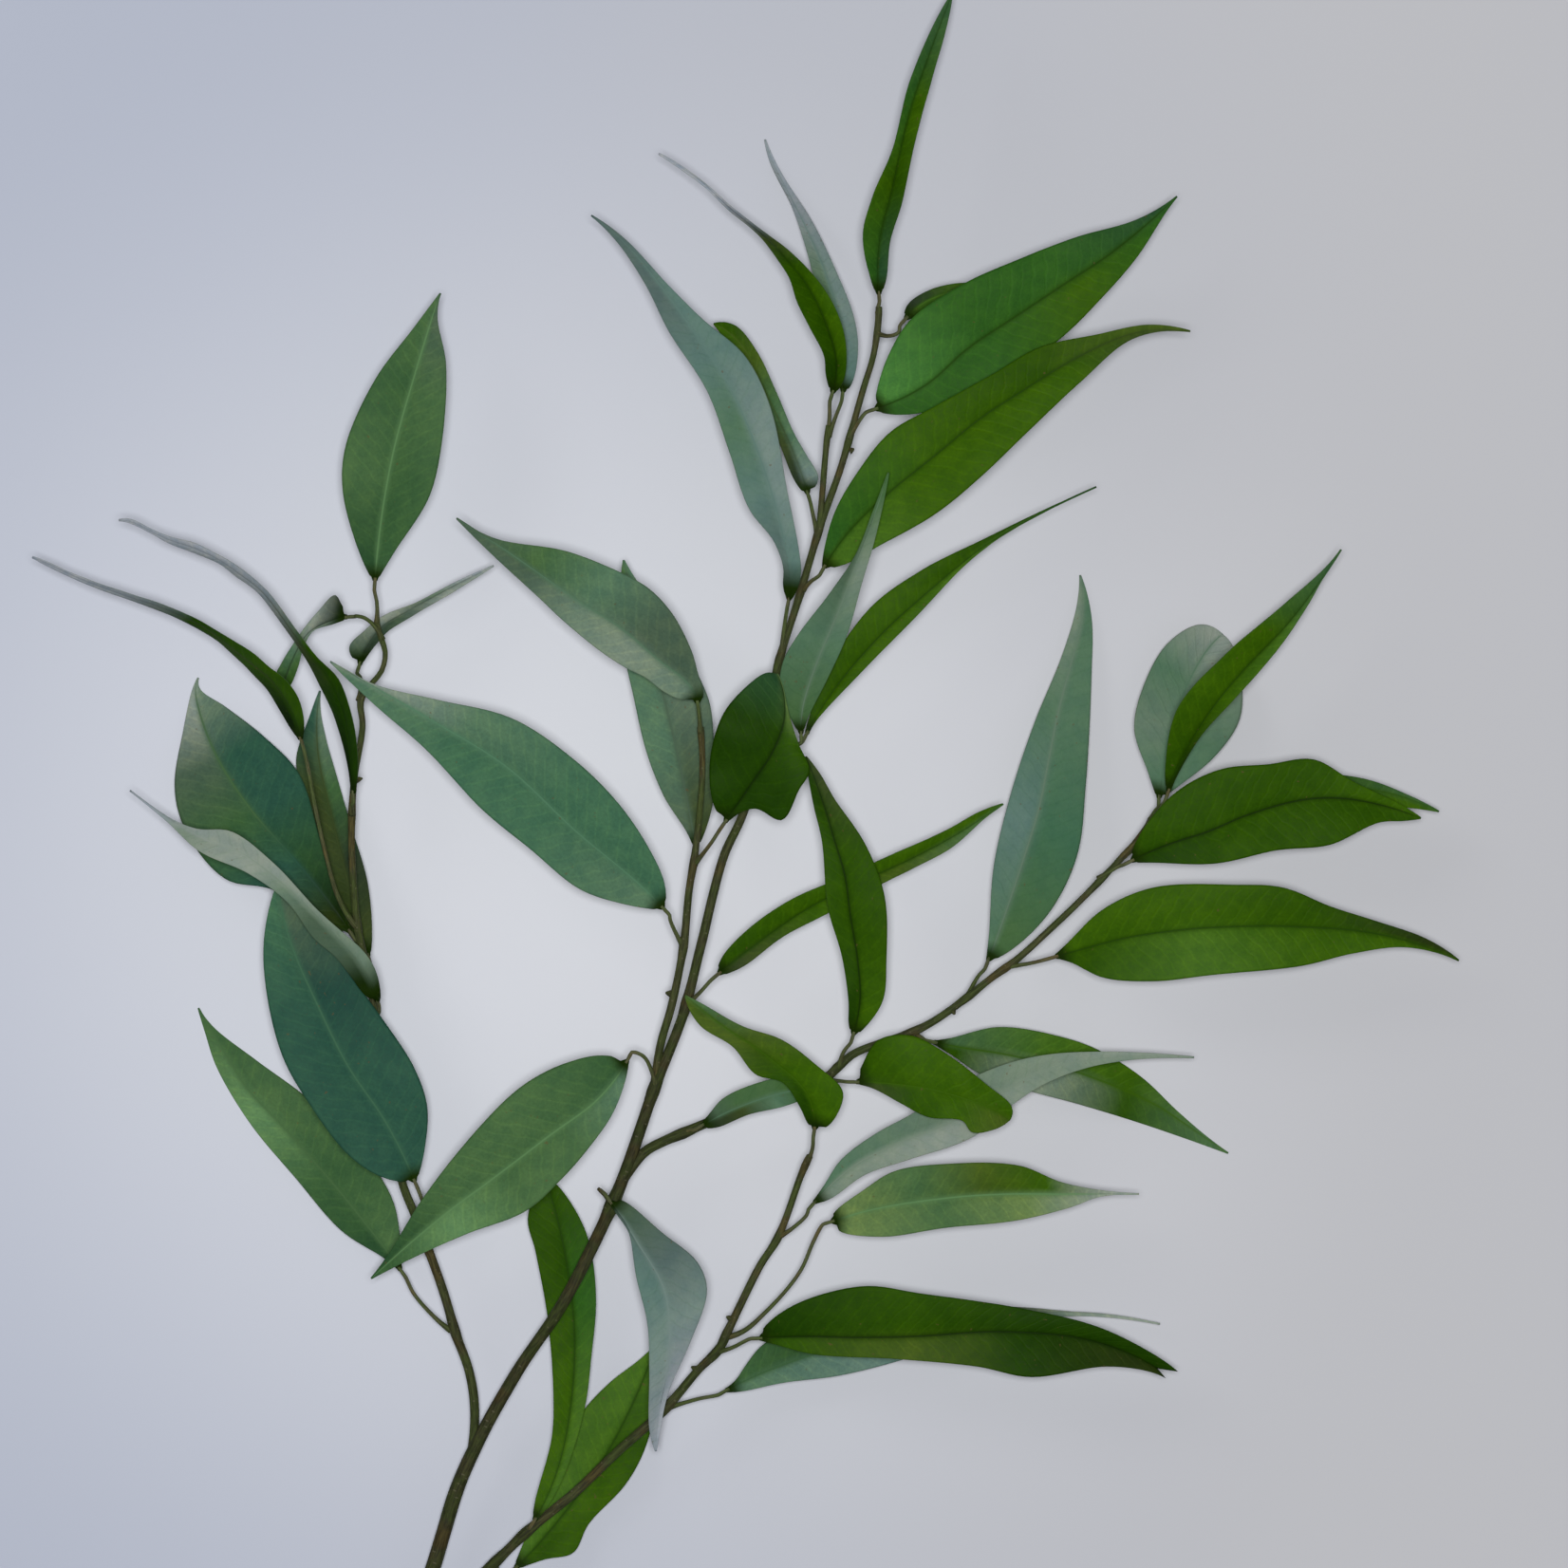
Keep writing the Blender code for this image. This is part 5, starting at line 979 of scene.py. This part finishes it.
class Nodes:
    """Short names for the nodes of one material."""

    def __init__(self, name):
        self.material = bpy.data.materials.new(name)
        self.material.use_nodes = True
        self.tree = self.material.node_tree
        self.shader = self.tree.nodes["Principled BSDF"]

    def add(self, kind, inputs=(), **settings):
        node = self.tree.nodes.new(kind)
        for key, value in settings.items():
            setattr(node, key, value)
        for place, value in dict(inputs).items():
            if isinstance(value, bpy.types.NodeSocket):
                self.tree.links.new(value, node.inputs[place])
            else:
                node.inputs[place].default_value = value
        return node

    def math(self, operation, *values):
        return self.add("ShaderNodeMath", enumerate(values), operation=operation).outputs[0]

    def times(self, first, second):
        return self.math("MULTIPLY", first, second)

    def attribute(self, name, output):
        return self.add("ShaderNodeAttribute", attribute_name=name).outputs[output]

    def noise(self, vector, scale, detail=2.0, roughness=0.5):
        inputs = {"Vector": vector, "Scale": scale, "Detail": detail, "Roughness": roughness}
        return self.add("ShaderNodeTexNoise", inputs).outputs["Fac"]

    def ramp(self, value, low, high, out_low=0.0, out_high=1.0):
        """value from low..high taken smoothly to out_low..out_high."""
        inputs = {"Value": value, 1: low, 2: high, 3: out_low, 4: out_high}
        return self.add("ShaderNodeMapRange", inputs, interpolation_type="SMOOTHSTEP").outputs[0]

    def fall(self, value, low, high):
        """1 where value is at most low, taken smoothly to 0 at high."""
        return self.ramp(value, low, high, out_low=1.0, out_high=0.0)

    def mix(self, share, first, second, blend="MIX"):
        node = self.add("ShaderNodeMix", data_type="RGBA", blend_type=blend)
        for index, value in ((0, share), (6, first), (7, second)):
            if isinstance(value, bpy.types.NodeSocket):
                self.tree.links.new(value, node.inputs[index])
            else:
                node.inputs[index].default_value = value
        return node.outputs[2]

    def tinted(self, colour, factors):
        """The colour with its three channels multiplied by the factors."""
        return self.mix(1.0, colour, (*factors, 1), "MULTIPLY")

    def touch(self, colour, other, mask, strength):
        """The colour taken towards another one as far as mask and strength say."""
        return self.mix(self.times(mask, strength), colour, other)

    def finish(self, colour, rough, height, distance, strength, specular):
        self.tree.links.new(colour, self.shader.inputs["Base Color"])
        self.tree.links.new(rough, self.shader.inputs["Roughness"])
        bump = self.add("ShaderNodeBump", {"Height": height, "Distance": distance,
                                           "Strength": strength})
        self.tree.links.new(bump.outputs[0], self.shader.inputs["Normal"])
        self.shader.inputs["Specular IOR Level"].default_value = specular
        return self.material


# Leaf faces; lengths in mm, widths and edges as shares of a half
CLOUD_COOL = (1, 0.6, 0.3)  # how much a cloud takes from red, green and blue
CLOUD_WARM = (1, 0.75, 0.4)
VEIN_SLANT = 0.85  # how far a side vein runs on towards the tip for each mm outwards
VEIN_WANDER = 5.0
VEIN_SHIFT = 100.0  # keeps the way along the leaf above zero
HALF_VEIN_STEP = 2.4
VEIN_WIDTH = 0.85
BORDER_VEIN = 0.93  # where the vein beside the edge runs
BORDER_WIDTH = 0.022
BORDER_STRENGTH = 0.6
NET_SCALE = 1.5
NET_WIDTH = 0.12
NET_HEIGHT = 0.35  # of the net, as a share of the veins'
GRAIN_HEIGHT = 0.35
# The rib line has the rib's own colour, or painted shade in the crease of a dark rib; beside it lies a
# soft band of painted light or painted shade
RIB_STRENGTH = 0.45
RIB_PAINTED_LIGHT_SHADE_STRENGTH = 0.35
MARGIN_DARK = (0.72, 0.70, 0.60)
SPOT_BROWN = (0.10, 0.065, 0.025, 1)


def leaf_material(name, cloud, mottle, vein_light, vein_bump, rough_low, rough_high, specular):
    """A leaf's face: mottled paint, slanting side veins, a fine net between them and a midrib with
    painted light or shade beside it.
    """
    nodes = Nodes(name)
    place = nodes.attribute("place", "Vector")
    along, across = nodes.add("ShaderNodeSeparateXYZ", {0: place}).outputs[:2]
    out = nodes.math("ABSOLUTE", across)
    edge = nodes.attribute("edge", "Fac")
    beside = nodes.math("MAXIMUM", out, nodes.times(edge, WIDE_HALF))

    blotches = nodes.noise(place, scale=0.16, detail=3.0)
    specks = nodes.noise(place, scale=0.9, detail=3.0, roughness=0.6)
    tint = nodes.attribute("tint", "Color")
    cool = nodes.tinted(tint, [1 - cloud * share for share in CLOUD_COOL])
    warm = nodes.tinted(tint, [1 + cloud * share for share in CLOUD_WARM])
    colour = nodes.mix(nodes.ramp(blotches, low=0.34, high=0.66), cool, warm)
    shade = nodes.ramp(specks, low=0.25, high=0.75, out_low=1 - mottle, out_high=1 + mottle)
    shade_colour = nodes.add("ShaderNodeCombineColor", {0: shade, 1: shade, 2: shade}).outputs[0]
    colour = nodes.mix(1.0, colour, shade_colour, "MULTIPLY")

    wander = nodes.noise(place, scale=0.12, detail=2.0)
    slant = nodes.math("SUBTRACT", along, nodes.times(out, VEIN_SLANT))
    slant = nodes.math("ADD", slant, nodes.times(wander, VEIN_WANDER))
    wave = nodes.math("PINGPONG", nodes.math("ADD", slant, VEIN_SHIFT), HALF_VEIN_STEP)
    off_rib = nodes.ramp(beside, low=0.2, high=1.4)
    off_edge = nodes.fall(edge, low=0.86, high=0.97)
    side_vein = nodes.fall(wave, low=0.0, high=VEIN_WIDTH)
    side_vein = nodes.times(side_vein, nodes.times(off_rib, off_edge))
    from_border = nodes.math("ABSOLUTE", nodes.math("SUBTRACT", edge, BORDER_VEIN))
    border_vein = nodes.fall(from_border, low=0.0, high=BORDER_WIDTH)
    veins = nodes.math("MAXIMUM", side_vein, nodes.times(border_vein, BORDER_STRENGTH))
    net = nodes.add("ShaderNodeTexVoronoi", {"Vector": place, "Scale": NET_SCALE},
                    feature="DISTANCE_TO_EDGE").outputs["Distance"]
    net = nodes.fall(net, low=0.0, high=NET_WIDTH)
    light = nodes.tinted(colour, vein_light)
    colour = nodes.touch(colour, light, mask=veins, strength=0.6)
    colour = nodes.touch(colour, light, mask=net, strength=0.22)

    # Rib line and soft band beside it take the rib colour: painted shade along a dark rib's crease,
    # painted light beside a pale rib
    rib = nodes.times(nodes.fall(beside, low=0.12, high=0.60), RIB_STRENGTH)
    rib_painted_light_shade = nodes.times(nodes.fall(beside, low=0.2, high=2.0), RIB_PAINTED_LIGHT_SHADE_STRENGTH)
    colour = nodes.mix(nodes.math("ADD", rib, rib_painted_light_shade), colour, nodes.attribute("rib_and_crease_shade_tint", "Color"))
    margin = nodes.ramp(edge, low=0.965, high=1.0)
    colour = nodes.touch(colour, nodes.tinted(colour, MARGIN_DARK), mask=margin, strength=0.6)
    spots = nodes.ramp(nodes.noise(place, scale=0.55, detail=1.0), low=0.74, high=0.80)
    colour = nodes.touch(colour, SPOT_BROWN, mask=spots, strength=0.5)

    grain = nodes.noise(place, scale=3.5, detail=2.0)
    height = nodes.math("ADD", nodes.times(veins, vein_bump), nodes.times(net, vein_bump * NET_HEIGHT))
    height = nodes.math("ADD", height, nodes.times(grain, GRAIN_HEIGHT))
    rough = nodes.ramp(specks, low=0.3, high=0.7, out_low=rough_low, out_high=rough_high)
    return nodes.finish(colour, rough, height, distance=0.00022, strength=0.5, specular=specular)


# Bark and cut wood
BARK_STRETCH = (0.18, 2.4, 1.0)  # draws the streaks out along a twig
BARK_DARK = (0.50, 0.46, 0.42)
BARK_LIGHT = (1.45, 1.42, 1.30)
BARK_GREEN = (0.86, 1.08, 0.72)
BARK_RUSTY = (1.20, 0.92, 0.80)
PORE_PALE = (0.17, 0.15, 0.10, 1)
PORE_SCALE = 0.55
STREAK_HEIGHT = 0.8
PORE_HEIGHT = 0.4
CUT_BROWN = (0.36, 0.26, 0.13, 1)
CUT_PALE = (0.52, 0.41, 0.24, 1)


def bark_material():
    """Thin bark with streaks along it, pale pores, and green and rusty patches."""
    nodes = Nodes("bark")
    place = nodes.attribute("place", "Vector")
    stretch = nodes.add("ShaderNodeVectorMath", {0: place, 1: BARK_STRETCH},
                        operation="MULTIPLY").outputs[0]
    streaks = nodes.noise(stretch, scale=1.2, detail=4.0, roughness=0.65)
    patches = nodes.noise(place, scale=0.09, detail=2.0)
    tint = nodes.attribute("tint", "Color")
    dark, light = nodes.tinted(tint, BARK_DARK), nodes.tinted(tint, BARK_LIGHT)
    colour = nodes.mix(nodes.ramp(streaks, low=0.32, high=0.68), dark, light)
    green = nodes.tinted(colour, BARK_GREEN)
    colour = nodes.mix(nodes.ramp(patches, low=0.42, high=0.60), colour, green)
    rusty = nodes.tinted(colour, BARK_RUSTY)
    colour = nodes.mix(nodes.ramp(patches, low=0.46, high=0.34), colour, rusty)
    dots = nodes.add("ShaderNodeTexVoronoi", {"Vector": place, "Scale": PORE_SCALE})
    pores = nodes.fall(dots.outputs["Distance"], low=0.10, high=0.20)
    colour = nodes.touch(colour, PORE_PALE, mask=pores, strength=0.3)
    height = nodes.math("ADD", nodes.times(streaks, STREAK_HEIGHT), nodes.times(pores, PORE_HEIGHT))
    rough = nodes.ramp(streaks, low=0.3, high=0.7, out_low=0.62, out_high=0.82)
    return nodes.finish(colour, rough, height, distance=0.00035, strength=0.6, specular=0.15)


def cut_wood_material():
    """The pale cut end with faint rings."""
    nodes = Nodes("cut_wood")
    place = nodes.add("ShaderNodeNewGeometry").outputs["Position"]
    rings = nodes.noise(place, scale=900.0, detail=3.0)
    colour = nodes.mix(nodes.ramp(rings, low=0.3, high=0.7), CUT_BROWN, CUT_PALE)
    rough = nodes.ramp(rings, low=0.3, high=0.7, out_low=0.7, out_high=0.85)
    return nodes.finish(colour, rough, rings, distance=0.0002, strength=0.5, specular=0.3)


# The table and the light, in metres
FLOOR_HALF = 4.0
FLOOR_BLUE = (0.437, 0.472, 0.567, 1)
FLOOR_GREY = (0.495, 0.502, 0.532, 1)
# A pool of light painted on the floor round the branch: its colour, its middle and its strength
FLOOR_PAINTED_POOL_COLOUR = (0.86, 0.87, 0.90, 1)
FLOOR_PAINTED_POOL_MIDDLE = (-0.07, 0.02, 0.0)  # where it is lightest
FLOOR_PAINTED_POOL_STRENGTH = 0.48
FLOOR_DRIFT = 0.12  # how unevenly blue turns to grey
SKY_COLOUR = (0.93, 0.96, 1.0, 1)
SKY_STRENGTH = 0.16
LIGHTS = {  # place, size, power and colour
    "overhead": ((0.013, 0.05, 3.2), 0.4, 84, (1.0, 0.99, 0.98)),
    "upper_left": ((-1.6, 1.3, 2.0), 1.2, 6, (1.0, 0.98, 0.95)),
}


def floor_piece():
    """A pale table with a pool of light painted on it under the branch, blue on the left and grey on the
    right.
    """
    nodes = Nodes("floor")
    place = nodes.add("ShaderNodeNewGeometry").outputs["Position"]
    cloud = nodes.noise(place, scale=6.0, detail=1.0)
    sideways = nodes.add("ShaderNodeSeparateXYZ", {0: place}).outputs[0]
    drift = nodes.math("ADD", sideways, nodes.times(cloud, FLOOR_DRIFT))
    colour = nodes.mix(nodes.ramp(drift, low=-0.2, high=0.32), FLOOR_BLUE, FLOOR_GREY)
    # Painted pool of light, strongest at its middle
    away = nodes.add("ShaderNodeVectorMath", {0: place, 1: FLOOR_PAINTED_POOL_MIDDLE}, operation="DISTANCE")
    painted_pool = nodes.ramp(away.outputs["Value"], low=0.02, high=0.34, out_low=FLOOR_PAINTED_POOL_STRENGTH, out_high=0.0)
    colour = nodes.mix(painted_pool, colour, FLOOR_PAINTED_POOL_COLOUR)
    rough = nodes.ramp(cloud, low=0.3, high=0.7, out_low=0.85, out_high=0.9)
    material = nodes.finish(colour, rough, cloud, distance=0.0001, strength=0.1, specular=0.2)
    data = bpy.data.meshes.new("floor")
    corners = [(x * FLOOR_HALF, y * FLOOR_HALF, 0) for x, y in ((-1, -1), (1, -1), (1, 1), (-1, 1))]
    data.from_pydata(corners, [], [(0, 1, 2, 3)])
    data.materials.append(material)
    new_object("floor", data)


def studio():
    world = bpy.data.worlds.new("studio")
    world.use_nodes = True
    sky = world.node_tree.nodes["Background"].inputs
    sky["Color"].default_value = SKY_COLOUR
    sky["Strength"].default_value = SKY_STRENGTH
    bpy.context.scene.world = world
    for name, (place, size, power, colour) in LIGHTS.items():
        data = bpy.data.lights.new(name, "AREA")
        data.shape = "DISK"
        data.size = size
        data.energy = power
        data.color = colour
        made = new_object(name, data)
        made.location = place
        made.rotation_euler = Vector(place).to_track_quat("Z", "Y").to_euler()
    bpy.context.scene.view_settings.view_transform = "Standard"


def camera():
    data = bpy.data.cameras.new("camera")
    data.lens = data.sensor_width * VIEW_HEIGHT / VIEW_WIDTH
    made = new_object("camera", data)
    made.location = (MIDDLE[0], MIDDLE[1], VIEW_HEIGHT)
    bpy.context.scene.camera = made


camera()
studio()
floor_piece()
looks = {
    "leaf_upper": leaf_material("leaf_upper", cloud=0.12, mottle=0.10, vein_light=(1.28, 1.22, 1.10),
                                vein_bump=-0.6, rough_low=0.45, rough_high=0.60, specular=0.04),
    "leaf_underside": leaf_material("leaf_underside", cloud=0.07, mottle=0.05,
                                    vein_light=(0.90, 0.96, 0.90), vein_bump=0.8, rough_low=0.6,
                                    rough_high=0.75, specular=0.04),
    "bark": bark_material(),
    "cut_wood": cut_wood_material(),
}
stem_piece(looks)
for leaf_name, leaf_form in LEAVES.items():
    leaf_piece(leaf_name, leaf_form, looks)
